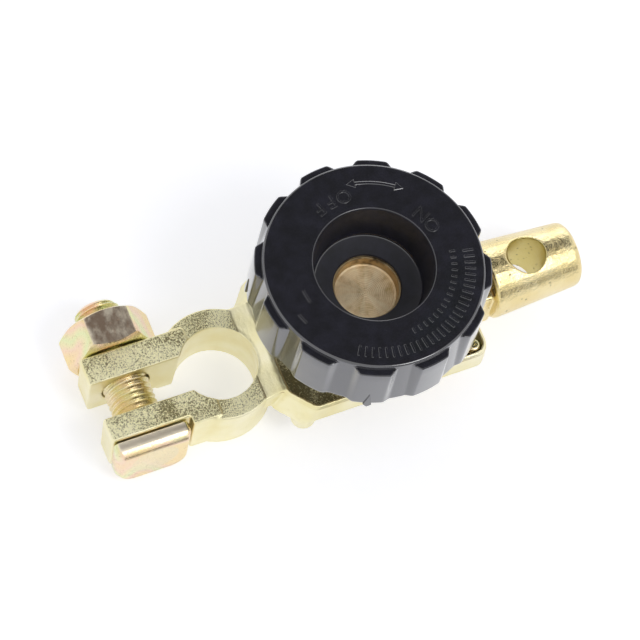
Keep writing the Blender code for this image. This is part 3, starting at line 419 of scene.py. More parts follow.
def contact_copper(name, settings):
    """Satin contact washer with rubbed rings."""
    finish = Finish(name, 1.0)
    copper = tuple(settings.copper)
    reach = finish.away(finish.x, finish.y)
    rings = (reach * 12.0 + finish.grain(0.6) * 3.0).sine()
    blotch = finish.grain(0.5, 4.0, 0.6)
    tint = finish.mix(blotch.step(0.35, 0.7), scaled(copper, 0.62, 0.56, 0.5), copper)
    return finish.complete(tint, 0.30 + blotch * 0.2 + rings * 0.05, rings, 0.012, 0.6)


def black_gloss(name, settings):
    """Black under a clear glossy skin, dusty, and dull in the well but for its floor's far corner."""
    finish = Finish(name, 0.0)
    black = tuple(settings.black)
    finish.set("IOR", 1.33)
    finish.set("Coat IOR", 1.95)
    finish.set("Coat Roughness", 0.13)
    top = finish.up.step(0.9, 0.99) * finish.z.step(40.0, 40.4)
    reach = finish.away(finish.x, finish.y)
    corner = reach.step(10.65, 10.95) * finish.z.step(32.2, 31.9) * finish.y.step(-3.0, 7.0)
    in_well = reach.step(12.5, 12.2) * (1.0 - corner)
    mottle = finish.grain(0.35, 4.0, 0.6)
    fine = finish.grain(4.5, 3.0, 0.6)
    dust = finish.grain(3.0, 4.0, 0.75).step(0.68, 0.82)
    tint = finish.mix(mottle.step(0.3, 0.75), black, scaled(black, 1.5, 1.5, 1.7))
    tint = finish.mix(dust * (0.06 + top * 0.08), tint, (0.16, 0.16, 0.18))
    roughness = 0.15 + top * 0.07 + mottle * 0.07 + dust * 0.1 + in_well * 0.25
    finish.set("Coat Weight", 1.0 - in_well * 0.95)
    return finish.complete(tint, roughness, mottle * 0.6 + fine * (0.10 + top * 0.15), 0.030, 0.7)


def black_matt(name, shade):
    """Matt black insulating plastic or fibre."""
    finish = Finish(name, 0.0)
    mottle = finish.grain(0.5, 4.0, 0.6)
    fibre = finish.grain(3.0, 3.0, 0.6, stretch=(0.4, 3.0, 1.0))
    dark = (shade, shade, shade * 1.05)
    tint = finish.mix(mottle.step(0.3, 0.75), dark, (shade * 2, ) * 3)
    return finish.complete(tint, 0.52 + fibre * 0.14, fibre * 0.5 + mottle * 0.5, 0.05, 0.5)


def shared_finish(name, make, *arguments):
    """A material that several operators share, made when it is first asked for."""
    return bpy.data.materials.get(name) or make(name, *arguments)


def new_object(name, data):
    """Make an object and link it to the scene."""
    thing = bpy.data.objects.new(name, data)
    bpy.context.scene.collection.objects.link(thing)
    return thing


def remove_objects(*things):
    """Remove helper objects."""
    for thing in things:
        bpy.data.objects.remove(thing, do_unlink=True)


def place_piece(name, mesh, material, body, slot, *nodes, sharp=32.0):
    """Link a finished mesh as a piece that rides on a body and stands for CAD nodes."""
    mesh.name = name
    mesh.materials.clear()
    mesh.materials.append(material)
    mesh.shade_smooth()
    if sharp:
        mesh.set_sharp_from_angle(angle=math.radians(sharp))
    piece = new_object(name, mesh)
    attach(piece, body)
    if nodes:
        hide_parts(*nodes)


def mesh_from(form):
    """Turn a form into a mesh and free it."""
    mesh = bpy.data.meshes.new("part")
    form.to_mesh(mesh)
    form.free()
    return mesh


def form_from(mesh):
    """Turn a mesh into a form and remove it."""
    form = bmesh.new()
    form.from_mesh(mesh)
    bpy.data.meshes.remove(mesh)
    return form


def join_forms(*forms):
    """Gather several forms in one."""
    whole = bmesh.new()
    for form in forms:
        mesh = mesh_from(form)
        whole.from_mesh(mesh)
        bpy.data.meshes.remove(mesh)
    return whole


def tidy_form(form):
    """Merge doubles and point the faces outwards."""
    bmesh.ops.remove_doubles(form, verts=form.verts, dist=MERGED)
    bmesh.ops.recalc_face_normals(form, faces=form.faces)
    return form


def moved(form, matrix):
    """Place a form."""
    bmesh.ops.transform(form, verts=form.verts, matrix=matrix)
    return form


def eased(form, offset, segments):
    """Bevel every edge of a form."""
    bmesh.ops.bevel(form, geom=form.edges, offset=offset, segments=segments, affect="EDGES")
    return form


def block(size, matrix):
    """A box of a size, placed by a matrix."""
    form = bmesh.new()
    bmesh.ops.create_cube(form, size=1.0)
    return moved(form, matrix @ Matrix.Diagonal((*size, 1.0)))


def lofted(rings, joined=False):
    """A closed form through rings of points, with its ends capped or its last ring joined to its first."""
    form = bmesh.new()
    rows = [[form.verts.new(point) for point in ring] for ring in rings]
    ahead = rows[1:] + rows[:1] if joined else rows[1:]
    for here, there in zip(rows, ahead):
        for j in range(len(here)):
            k = (j + 1) % len(here)
            form.faces.new((here[j], there[j], there[k], here[k]))
    if not joined:
        form.faces.new(rows[0])
        form.faces.new(list(reversed(rows[-1])))
    return tidy_form(form)


def shell(section, steps):
    """A closed form turned about Z, from (radius, height) points in millimetres or a rule for each angle."""
    rings = []
    for i in range(steps):
        angle = math.tau * i / steps
        points = section(angle) if callable(section) else section
        rings.append([(r * MM * math.cos(angle), r * MM * math.sin(angle), z * MM) for r, z in points])
    return lofted(rings, joined=True)


def arc(centre, radius, start, end, steps):
    """Points on an arc, with angles in degrees."""
    points = []
    for i in range(steps + 1):
        angle = math.radians(start + (end - start) * i / steps)
        points.append((centre[0] + radius * math.cos(angle), centre[1] + radius * math.sin(angle)))
    return points


def rounded(corners, radii, steps):
    """Round each corner of a closed outline with an arc."""
    outline = []
    for i, corner in enumerate(corners):
        here = Vector(corner)
        back = (Vector(corners[i - 1]) - here).normalized()
        ahead = (Vector(corners[(i + 1) % len(corners)]) - here).normalized()
        half = back.angle(ahead) / 2
        centre = here + (back + ahead).normalized() * (radii[i] / math.sin(half))
        start = here + back * (radii[i] / math.tan(half)) - centre
        end = here + ahead * (radii[i] / math.tan(half)) - centre
        for step in range(steps + 1):
            outline.append(centre + start.lerp(end, step / steps).normalized() * radii[i])
    return outline


def shrunk(outline, distance):
    """Move a rounded outline inwards along its own normals."""
    result = []
    for i, point in enumerate(outline):
        along = (outline[(i + 1) % len(outline)] - outline[i - 1]).normalized()
        result.append(point + Vector((-along.y, along.x)) * distance)
    return result


def threaded(radius, depth, pitch, low, high, chamfer_low, chamfer_high):
    """A right-hand threaded rod along Z between two heights, in metres, closed at both ends."""
    form = bmesh.new()
    steps, rows = 72, 10
    turns = int(math.ceil((high - low) / pitch)) + 1
    columns = []
    for i in range(steps):
        share = i / steps
        angle = math.tau * share
        column = []
        for j in range((turns + 1) * rows + 1):
            height = low - pitch + pitch * (j / rows + share)
            tooth = 1.0 - abs(2.0 * (j % rows) / rows - 1.0)
            tooth = min(max((tooth - 0.12) / 0.76, 0.0), 1.0)
            reach = radius - depth * (1.0 - tooth)
            height = min(max(height, low), high)
            reach = min(reach, radius - chamfer_low + (height - low), radius - chamfer_high + (high - height))
            column.append(form.verts.new((reach * math.cos(angle), reach * math.sin(angle), height)))
        columns.append(column)
    count = len(columns[0])
    for i in range(steps):
        here = columns[i]
        there = columns[(i + 1) % steps]
        shift = rows if i == steps - 1 else 0
        for j in range(count - 1 - shift):
            form.faces.new((here[j], there[j + shift], there[j + 1 + shift], here[j + 1]))
    bmesh.ops.remove_doubles(form, verts=form.verts, dist=MERGED)
    bmesh.ops.dissolve_degenerate(form, edges=form.edges, dist=MERGED / 2)
    bmesh.ops.holes_fill(form, edges=form.edges, sides=0)
    bmesh.ops.recalc_face_normals(form, faces=form.faces)
    return form


def modify(holder, kind, **settings):
    """Add a modifier with its settings."""
    modifier = holder.modifiers.new(kind.lower(), kind)
    for name, value in settings.items():
        setattr(modifier, name, value)
    return modifier


def evaluated_mesh(piece):
    """The mesh of an object with its modifiers worked out."""
    bpy.context.view_layer.update()
    graph = bpy.context.evaluated_depsgraph_get()
    return bpy.data.meshes.new_from_object(piece.evaluated_get(graph), depsgraph=graph)


def baked(form, prepare):
    """The mesh of a form after the modifiers that prepare adds. It returns the helpers that they need."""
    holder = new_object("holder", mesh_from(form))
    helpers = prepare(holder)
    mesh = evaluated_mesh(holder)
    remove_objects(holder, *helpers)
    return mesh


def open_tree(name, *inputs):
    """Start a node tree that takes a geometry, some (title, type, default) inputs and a finish."""
    tree = bpy.data.node_groups.new(name, "GeometryNodeTree")
    for title, kind, value in (("Geometry", "Geometry", None), *inputs, ("Finish", "Material", None)):
        socket = tree.interface.new_socket(title, in_out="INPUT", socket_type="NodeSocket" + kind)
        if value is not None:
            socket.default_value = value
    tree.interface.new_socket("Geometry", in_out="OUTPUT", socket_type="NodeSocketGeometry")
    return tree, add_node(tree, "NodeGroupInput").outputs


def close_tree(tree, given, geometry):
    """End a geometry node tree in Realize Instances and Set Material."""
    whole = wired(tree, "GeometryNodeRealizeInstances", None, {"Geometry": geometry})
    painted = wired(tree, "GeometryNodeSetMaterial", None, {"Geometry": whole, "Material": given["Finish"]})
    add_node(tree, "NodeGroupOutput", None, {"Geometry": painted})
    return tree


def set_input(modifier, title, value):
    """Set a node modifier's input by its socket's identifier."""
    for item in modifier.node_group.interface.items_tree:
        if item.item_type == "SOCKET" and item.in_out == "INPUT" and item.name == title:
            modifier[item.identifier] = value
            return
    raise RuntimeError("no input named " + title)


def repeat_tree(name):
    """A node tree that puts a copy of a piece on every point of the places mesh, turned as the point says."""
    tree, given = open_tree(name, ("Piece", "Object", None), ("Size", "Float", 1.0))
    piece = wired(tree, "GeometryNodeObjectInfo", None, {"Object": given["Piece"]}, "Geometry")
    turn = wired(tree, "GeometryNodeInputNamedAttribute", {"data_type": "FLOAT_VECTOR"}, {"Name": "turn"},
                 "Attribute")
    copies = wired(tree, "GeometryNodeInstanceOnPoints", None, {
        "Points": given["Geometry"], "Instance": piece, "Rotation": turn, "Scale": given["Size"]})
    return close_tree(tree, given, copies)


def repeated(form, places, material):
    """Copies of a form at (position, turn) places, made by the repeat tree, as one mesh."""
    tree = bpy.data.node_groups.get("Repeat Piece") or repeat_tree("Repeat Piece")
    pattern = new_object("pattern", mesh_from(form))
    points = bpy.data.meshes.new("places")
    points.from_pydata([place for place, turn in places], [], [])
    turns = points.attributes.new("turn", "FLOAT_VECTOR", "POINT")
    for item, (place, turn) in zip(turns.data, places):
        item.vector = turn
    holder = new_object("places", points)
    modifier = modify(holder, "NODES", node_group=tree)
    set_input(modifier, "Piece", pattern)
    set_input(modifier, "Finish", material)
    mesh = evaluated_mesh(holder)
    remove_objects(holder, pattern)
    return mesh


def round_axis(angles):
    """Places on the knob's axis, each turned by an angle in degrees."""
    return [((0.0, 0.0, 0.0), (0.0, 0.0, math.radians(angle))) for angle in angles]


def on_top(reach, angle):
    """A place on the knob's top, out from its axis, turned by an angle in radians."""
    return Matrix.Rotation(angle, 4, "Z") @ Matrix.Translation((reach, 0.0, KNOB_TOP))


def skin_tree(name):
    """A node tree that roughens a casting's skin: long waves everywhere and grain on the tops."""
    tree, given = open_tree(name, ("Grain Height", "Float", 0.00005), ("Wave Height", "Float", 0.00010),
                            ("Grain Size", "Float", 1900.0), ("Wave Size", "Float", 190.0))
    normal = wired(tree, "GeometryNodeInputNormal")
    upward = wired(tree, "ShaderNodeSeparateXYZ", None, {0: normal}, 2).above(0.9)
    grain = wired(tree, "ShaderNodeTexNoise", None, {"Detail": 2.0, "Scale": given["Grain Size"]})
    wave = wired(tree, "ShaderNodeTexNoise", None, {"Detail": 2.0, "Scale": given["Wave Size"]})
    height = (grain - 0.5) * given["Grain Height"] * (upward + 0.15) * 2.0
    height = height + (wave - 0.5) * given["Wave Height"]
    shift = wired(tree, "ShaderNodeVectorMath", {"operation": "SCALE"}, {0: normal, "Scale": height})
    rough = wired(tree, "GeometryNodeSetPosition", None, {"Geometry": given["Geometry"], "Offset": shift})
    return close_tree(tree, given, rough)


def cast_skin(node, settings, material, added):
    """A casting's skin: the solid's own shape with its edges eased and its surfaces roughened."""
    form = bmesh.new()
    form.from_mesh(NODES[node].data)
    moved(form, NODES[node].matrix_world)
    bmesh.ops.remove_doubles(form, verts=form.verts, dist=0.000005)
    if added:
        form = join_forms(form, added)
    tree = bpy.data.node_groups.get("Casting Skin") or skin_tree("Casting Skin")

    def prepare(holder):
        modify(holder, "REMESH", mode="VOXEL", voxel_size=settings.skin, use_smooth_shade=True)
        modify(holder, "SMOOTH", factor=0.5, iterations=6)
        modify(holder, "DECIMATE", ratio=0.45)
        rough = modify(holder, "NODES", node_group=tree)
        set_input(rough, "Grain Height", settings.grain_height)
        set_input(rough, "Finish", material)
        return []

    return baked(form, prepare)


class SWITCH_OT_stage(bpy.types.Operator):
    """Make the pale floor, the soft lamps and the camera"""
    bl_idname = "switch.stage"
    bl_label = "Make Stage"

    def execute(self, context):
        settings = context.scene.switch_stage
        scene = context.scene
        scene.view_settings.view_transform = "Standard"
        form = bmesh.new()
        bmesh.ops.create_circle(form, cap_ends=True, segments=96, radius=settings.floor_radius)
        moved(form, Matrix.Translation((0.0, 0.0, -0.00012)))
        floor = new_object("floor", mesh_from(form))
        floor.data.materials.append(self.floor_paint(settings.floor_grey, settings.floor_glow))
        self.lamp("key_lamp", (0.32, -0.62, 0.98), 0.42, settings.key_power)
        self.lamp("back_lamp", (0.55, 0.95, 0.50), 0.5, settings.back_power)
        self.sky(scene, settings.sky_level)
        self.camera(scene, settings.lens)
        return {"FINISHED"}

    def floor_paint(self, grey, strength):
        """A diffuse floor that the camera and reflections see near white, with its shadow kept."""
        material = bpy.data.materials.new("pale_floor")
        material.use_nodes = True
        tree = material.node_tree
        tree.nodes.clear()
        paint = wired(tree, "ShaderNodeBsdfDiffuse", None, {"Color": (grey * 0.985, grey, grey * 1.08)})
        glow = wired(tree, "ShaderNodeEmission", None, {"Color": WHITE, "Strength": strength})
        both = wired(tree, "ShaderNodeAddShader", None, {0: paint, 1: glow})
        path = add_node(tree, "ShaderNodeLightPath").outputs
        seen = wired(tree, "ShaderNodeMath", {"operation": "ADD", "use_clamp": True},
                     {0: path["Is Camera Ray"], 1: path["Is Glossy Ray"]})
        pick = wired(tree, "ShaderNodeMixShader", None, {0: seen, 1: paint, 2: both})
        add_node(tree, "ShaderNodeOutputMaterial", None, {"Surface": pick})
        return material

    def lamp(self, name, place, size, power):
        """A square area lamp that faces the part."""
        data = bpy.data.lights.new(name, "AREA")
        data.shape = "SQUARE"
        data.size = size
        data.energy = power
        lamp = new_object(name, data)
        lamp.location = place
        lamp.rotation_euler = (-Vector(place)).to_track_quat("-Z", "Y").to_euler()

    def sky(self, scene, level):
        """Even light. Reflections see a white tent with a dark opening overhead and a low dark edge."""
        world = bpy.data.worlds.new("studio_sky")
        scene.world = world
        world.use_nodes = True
        tree = world.node_tree
        tree.nodes.clear()
        place = wired(tree, "ShaderNodeTexCoord", output="Generated")
        path = add_node(tree, "ShaderNodeLightPath").outputs

        def near(direction, outside, inside, share):
            dot = wired(tree, "ShaderNodeVectorMath", {"operation": "DOT_PRODUCT"},
                        {0: place, 1: Vector(direction).normalized()}, "Value")
            return dot.step(math.cos(math.radians(outside)), math.cos(math.radians(inside))) * share

        def background(strength):
            return wired(tree, "ShaderNodeBackground", None, {"Color": WHITE, "Strength": strength})

        def choose(factor, first, second):
            return wired(tree, "ShaderNodeMixShader", None, {0: factor, 1: first, 2: second})

        opening = near((0.264, 0.344, 0.901), 28.0, 18.0, 0.97)
        edge = near((0.20, -0.97, 0.04), 28.0, 13.0, 0.98)
        white = background(1.0)
        tent = choose(opening.most(edge), white, background(0.0))
        unseen = choose(path["Is Glossy Ray"], background(level), tent)
        whole = choose(path["Is Camera Ray"], unseen, white)
        add_node(tree, "ShaderNodeOutputWorld", None, {"Surface": whole})

    def camera(self, scene, lens):
        """The camera at the photograph's place and angle."""
        data = bpy.data.cameras.new("camera")
        data.lens = lens
        data.sensor_width = 36.0
        data.clip_start = 0.01
        data.clip_end = 20.0
        camera = new_object("camera", data)
        right = (0.9167, -0.3799, 0.1237)
        upward = (0.2998, 0.8586, 0.4158)
        back = (-0.2642, -0.3441, 0.9010)
        turn = Matrix((right, upward, back)).transposed()
        camera.matrix_world = Matrix.Translation((-0.14092, -0.17177, 0.47016)) @ turn.to_4x4()
        scene.camera = camera


class SWITCH_OT_castings(bpy.types.Operator):
    """Make the clamp casting and the post casting with their plated, sand-cast skins"""
    bl_idname = "switch.castings"
    bl_label = "Make Castings"

    def execute(self, context):
        settings = context.scene.switch_casting
        gold = shared_finish("pale_gold_casting", cast_gold, settings)
        post = shared_finish("pale_gold_post", post_gold, settings)
        for node, finish, added in (("clamp_casting", gold, self.fillet()), ("post_casting", post, None)):
            skin = cast_skin(node, settings, finish, added)
            place_piece(node + "_skin", skin, finish, "switch_body", "gold_casting", node, sharp=0.0)
        return {"FINISHED"}

    def fillet(self):
        """The hollow slope from the ring's top up to the tray's rim, clear of the bore, in millimetres."""
        half_width, bore_x, bore_clear = 10.6, -30.8, 8.35
        foot_x, rim_x, inside_x = -24.6, -20.75, -20.2
        buried, foot_z, rise, rim_z = 14.0, 14.95, 1.15, 16.1
        rings = []
        for i in range(45):
            y = -half_width + 2 * half_width * i / 44
            start = max(foot_x, bore_x + math.sqrt(max(bore_clear ** 2 - y * y, 0.0)))
            ring = [(start, buried)]
            for step in range(9):
                share = step / 8
                ring.append((start + (rim_x - start) * share, foot_z + rise * share ** 1.2))
            ring += [(inside_x, rim_z), (inside_x, buried)]
            rings.append([(x * MM, y * MM, z * MM) for x, z in ring])
        return lofted(rings)


class SWITCH_OT_knob(bpy.types.Operator):
    """Make the moulded knob with its lugs, ribs, pointer tabs and raised marks"""
    bl_idname = "switch.knob"
    bl_label = "Make Knob"

    def execute(self, context):
        settings = context.scene.switch_knob
        black = shared_finish("black_knob_plastic", black_gloss, settings)
        moulding = mesh_from(shell(lambda angle: self.section(settings, angle), 720))
        place_piece("knob_moulding", moulding, black, "knob", "black_gloss", "knob")
        place_piece("knob_ribs", self.ribs(settings, black), black, "knob", "black_gloss")
        place_piece("knob_pointers", self.pointers(settings, black), black, "knob", "black_gloss")
        place_piece("knob_marks", self.marks(settings, black), black, "knob", "black_gloss")
        return {"FINISHED"}

    def lug(self, settings, angle):
        """How far out the skirt stands at an angle, from 0 in a gap to 1 on a lug."""
        flank_start, flank_run = 1.25, 1.95
        pitch = math.tau / LUG_COUNT
        from_gap = (angle - math.radians(settings.lug_phase) - pitch / 2) % pitch
        from_gap = min(from_gap, pitch - from_gap)
        run = from_gap * settings.lug_radius / MM
        half = settings.gap_width / MM / 2
        share = min(max((run - half + flank_start) / flank_run, 0.0), 1.0)
        return share * share * (3.0 - 2.0 * share)

    def section(self, settings, angle):
        """The knob's closed section at an angle, in millimetres."""
        top = KNOB_TOP / MM
        foot = top - SKIRT_HEIGHT
        rim = settings.rim_radius / MM
        lug = self.lug(settings, angle)

        def out(height, share):
            low = (top - LEDGE_DROP - height) / (SKIRT_HEIGHT - LEDGE_DROP)
            gap = rim + 0.03 + 1.1 * low
            full = settings.lug_radius / MM + (settings.foot_radius - settings.lug_radius) / MM * low
            return (gap + (full - gap) * lug * share, height)

        points = arc((12.52, top - 0.38), 0.38, 180, 90, 5)
        points += [(15.0, top), (18.0, top), (rim - 0.5, top)]
        points += arc((rim - 0.5, top - 0.5), 0.5, 82, 0, 6)
        points += [out(top - drop, share) for drop, share in (
            (0.98, 0.04), (1.02, 0.35), (1.03, 0.78), (1.08, 0.92), (1.19, 0.985), (1.40, 1.0), (4.0, 1.0),
            (7.0, 1.0), (10.0, 1.0))]
        points.append(out(foot + 0.75, 1.0))
        edge = out(foot + 0.4, 1.0)[0]
        foot_edge = ((0.0, 0.4), (0.08, 0.18), (0.25, 0.03), (0.5, 0.0))
        points += [(edge - inset, foot + rise) for inset, rise in foot_edge]
        points += [(radius, foot + rise) for radius, rise in KNOB_INSIDE]
        return points

    def ribs(self, settings, black):
        """Stiffening ribs between the well and the skirt."""
        rib = block((0.0090, 0.0013, 0.0087), Matrix.Translation((0.01745, 0.0, KNOB_TOP - 0.0065)))
        angles = [settings.lug_phase + 360 / RIB_COUNT * i for i in range(RIB_COUNT)]
        return repeated(eased(rib, 0.0002, 2), round_axis(angles), black)

    def pointers(self, settings, black):
        """Small arrow tabs that stand a little below the skirt."""
        foot = KNOB_TOP / MM - SKIRT_HEIGHT
        reach = settings.foot_radius / MM
        outer = ((0.30, -0.85, 0.0), (0.30, 0.0, -1.05), (0.30, 0.85, 0.0), (0.02, 0.0, 4.6))
        inner = ((-1.3, -1.0, 0.1), (-1.3, 0.0, -1.0), (-1.3, 1.0, 0.1), (-1.3, 0.0, 4.9))
        rings = [[((reach + out) * MM, across * MM, (foot + rise) * MM) for out, across, rise in ring]
                 for ring in (outer, inner)]
        angles = [settings.lug_phase + 360 / POINTER_COUNT * i for i in range(POINTER_COUNT)]
        return repeated(eased(lofted(rings), 0.00009, 2), round_axis(angles), black)

    def letter(self, text, size):
        """One letter as a flat raised form."""
        curve = bpy.data.curves.new("letter", "FONT")
        curve.body = text
        curve.size = size
        curve.align_x = "CENTER"
        curve.extrude = 0.00018
        curve.bevel_depth = 0.00004
        curve.offset = -0.00003
        curve.resolution_u = 4
        holder = new_object("letter", curve)
        form = form_from(evaluated_mesh(holder))
        remove_objects(holder)
        bpy.data.curves.remove(curve)
        return tidy_form(form)

    def word(self, text, reach, middle, spacing):
        """A word set round the knob, its letters' feet towards the well."""
        forms = []
        for i, character in enumerate(text):
            angle = math.radians(middle) + (i - (len(text) - 1) / 2) * spacing / reach
            upright = on_top(reach, angle) @ Matrix.Rotation(math.pi / 2, 4, "Z")
            forms.append(moved(self.letter(character, 0.0040), upright))
        return forms

    def band(self, rise, reach, width, start, end, steps):
        """A raised arc with eased edges."""
        rings = []
        for i in range(steps + 1):
            angle = math.radians(start + (end - start) * i / steps)
            ring = []
            for across, up in ((-0.5, -1.0), (-0.5, 0.6), (-0.35, 1.0), (0.35, 1.0), (0.5, 0.6), (0.5, -1.0)):
                r = reach + across * width
                ring.append((r * math.cos(angle), r * math.sin(angle), KNOB_TOP + up * rise))
            rings.append(ring)
        return lofted(rings)

    def arrow_head(self, rise, reach, angle, way):
        """A raised triangle at the end of an arc."""
        size = 0.0020
        corners = [Vector((-size / 2, 0.0)), Vector((size / 2, 0.0)), Vector((0.0, size * 0.9))]
        centre = sum(corners, Vector((0.0, 0.0))) / 3
        rings = []
        for shrink, up in ((1.0, -1.0), (1.0, 0.6), (0.86, 1.0)):
            points = [centre + (corner - centre) * shrink for corner in corners]
            rings.append([(point.x, point.y * way, up * rise) for point in points])
        return moved(lofted(rings), on_top(reach, math.radians(angle)))

    def marks(self, settings, black):
        """ON and OFF, a double-headed arrow, two dashes and two rows of ticks, moulded in low relief."""
        rise = settings.mark_height
        forms = self.word("OFF", 0.0170, 101.0, 0.0031)
        forms += self.word("ON", 0.0162, 22.0, 0.0034)
        forms.append(self.band(rise, 0.0180, 0.0007, 54.0, 80.0, 24))
        forms.append(self.arrow_head(rise, 0.0180, 80.0, 1.0))
        forms.append(self.arrow_head(rise, 0.0180, 54.0, -1.0))
        forms.append(self.band(rise, 0.0157, 0.0005, 183.0, 193.0, 8))
        forms.append(self.band(rise, 0.0192, 0.0005, 196.0, 203.0, 8))
        tick_rows = ((0.0022, 0.00046, 0.0192, 238, 4), (0.0012, 0.00042, 0.0160, 276, 5))
        for size, wide, reach, start, step in tick_rows:
            tick = eased(block((size, wide, rise * 2), on_top(reach, 0.0)), 0.00006, 1)
            forms.append(form_from(repeated(tick, round_axis(range(start, 352, step)), black)))
        return mesh_from(join_forms(*forms))


class SWITCH_OT_stud(bpy.types.Operator):
    """Make the hollow-headed brass stud and its captive contact washer"""
    bl_idname = "switch.stud"
    bl_label = "Make Stud"

    def execute(self, context):
        settings = context.scene.switch_stud
        brass = shared_finish("lathe_turned_brass", turned_brass, settings)
        copper = shared_finish("rubbed_copper", contact_copper, settings)
        thread = threaded(0.0058, 0.00095, settings.pitch, STUD_LOW.z, STUD_LOW.z + 0.0132, 0.0009, 0.0009)
        stud = mesh_from(join_forms(shell(self.head_section(), 128), thread))
        place_piece("stud_brass", stud, brass, "knob", "turned_brass", "contact_stud")
        low, high = [corner.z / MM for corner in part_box("contact_washer")]
        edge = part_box("contact_washer")[1].x / MM
        washer = [(5.5, high), (edge - 0.35, high), (edge - 0.1, high - 0.08), (edge, high - 0.35),
                  (edge, low + 0.35), (edge - 0.1, low + 0.08), (edge - 0.35, low), (5.5, low),
                  (5.3, low + 0.2), (5.3, high - 0.2)]
        place_piece("contact_washer_ring", mesh_from(shell(washer, 128)), copper,
                    "washer", "contact_copper", "contact_washer")
        return {"FINISHED"}

    def head_section(self):
        """The closed section of the hollow head, with fine tool rings on its floor, in millimetres."""
        head = STUD_HIGH.z / MM
        floor = head - 2.1
        points = [(0.02, floor + 0.03), (0.35, floor + 0.03), (0.6, floor)]
        reach = 0.9
        while reach < 5.8:
            points += [(reach, floor + 0.045), (reach + 0.19, floor)]
            reach += 0.38
        points += [(6.28, floor), (6.37, floor + 0.05), (6.43, floor + 0.2), (6.50, floor + 1.0)]
        points += [(radius, head - drop) for radius, drop in (
            (6.60, 0.0), (8.1, 0.0), (8.4, 0.1), (8.5, 0.35), (8.5, 3.45), (8.35, 3.68), (5.0, 3.72),
            (5.0, 5.9), (0.02, 5.9))]
        return points


class SWITCH_OT_bolt(bpy.types.Operator):
    """Make the clamp bolt with its D-shaped head, and its hexagon nut"""
    bl_idname = "switch.bolt"
    bl_label = "Make Clamp Bolt"

    def execute(self, context):
        settings = context.scene.switch_bolt
        zinc = shared_finish("passivated_zinc", yellow_zinc, settings)
        reach = BOLT_HIGH.y - BOLT_LOW.y
        rod = threaded(0.0049, settings.depth, settings.pitch, 0.0, reach - 0.001, 0.0, 0.0010)
        along = Matrix.Rotation(-math.pi / 2, 4, "X")
        moved(rod, Matrix.Translation((BOLT_X, BOLT_LOW.y + 0.001, BOLT_Z)) @ along)
        bolt = mesh_from(join_forms(self.head(), rod))
        place_piece("clamp_bolt_zinc", bolt, zinc, "switch_body", "yellow_zinc", "clamp_bolt")
        nut = shell(self.nut_section, 144)
        middle = Matrix.Translation((BOLT_X, (NUT_LOW.y + NUT_HIGH.y) / 2, BOLT_Z))
        moved(nut, middle @ Matrix.Rotation(math.pi / 2, 4, "X"))
        place_piece("clamp_nut_zinc", mesh_from(nut), zinc, "nut", "yellow_zinc", "clamp_nut", sharp=28.0)
        return {"FINISHED"}

    def head(self):
        """The bolt's D-shaped head with its chamfer all round."""
        thick = 0.0036
        half = (BOLT_HIGH.x - BOLT_LOW.x) / 2
        foot = BOLT_LOW.z - BOLT_Z
        brow = BOLT_HIGH.z - BOLT_Z
        corners = [(-half, foot), (half, foot), (half, brow), (-half, brow)]
        full = rounded(corners, [0.0044, 0.0044, 0.0012, 0.0012], 7)
        rings = []
        for inset, height in ((0.00035, 0.0), (0.0001, 0.0001), (0.0, 0.0004), (0.0, thick - 0.0017),
                              (0.00014, thick - 0.0013), (0.00085, thick - 0.00026),
                              (0.0011, thick - 0.00006), (0.0013, thick)):
            rings.append([(point.x, point.y, height) for point in shrunk(full, inset)])
        bearing = Matrix.Translation((BOLT_X, BOLT_LOW.y + thick, BOLT_Z))
        return moved(lofted(rings), bearing @ Matrix.Rotation(math.pi / 2, 4, "X"))

    def nut_section(self, angle):
        """The nut's closed section at an angle, a flat facing up, in millimetres."""
        flat = (NUT_HIGH.z - NUT_LOW.z) / 2 / MM
        half = (NUT_HIGH.y - NUT_LOW.y) / 2 / MM
        off = (angle % (math.pi / 3)) - math.pi / 6
        edge = min(flat / math.cos(off), flat * 1.132)
        start = flat * 0.955
        fall = (edge - start) * math.tan(math.radians(32))
        upper = [(5.25, half - 0.35), (5.6, half - 0.02), (5.9, half), (start - 0.25, half),
                 (start, half - 0.06), (start + (edge - start) * 0.5, half - fall * 0.55),
                 (edge, half - fall - 0.08), (edge + 0.01, half - fall - 0.3)]
        return upper + [(edge + 0.01, 0.0)] + [(radius, -height) for radius, height in reversed(upper)]


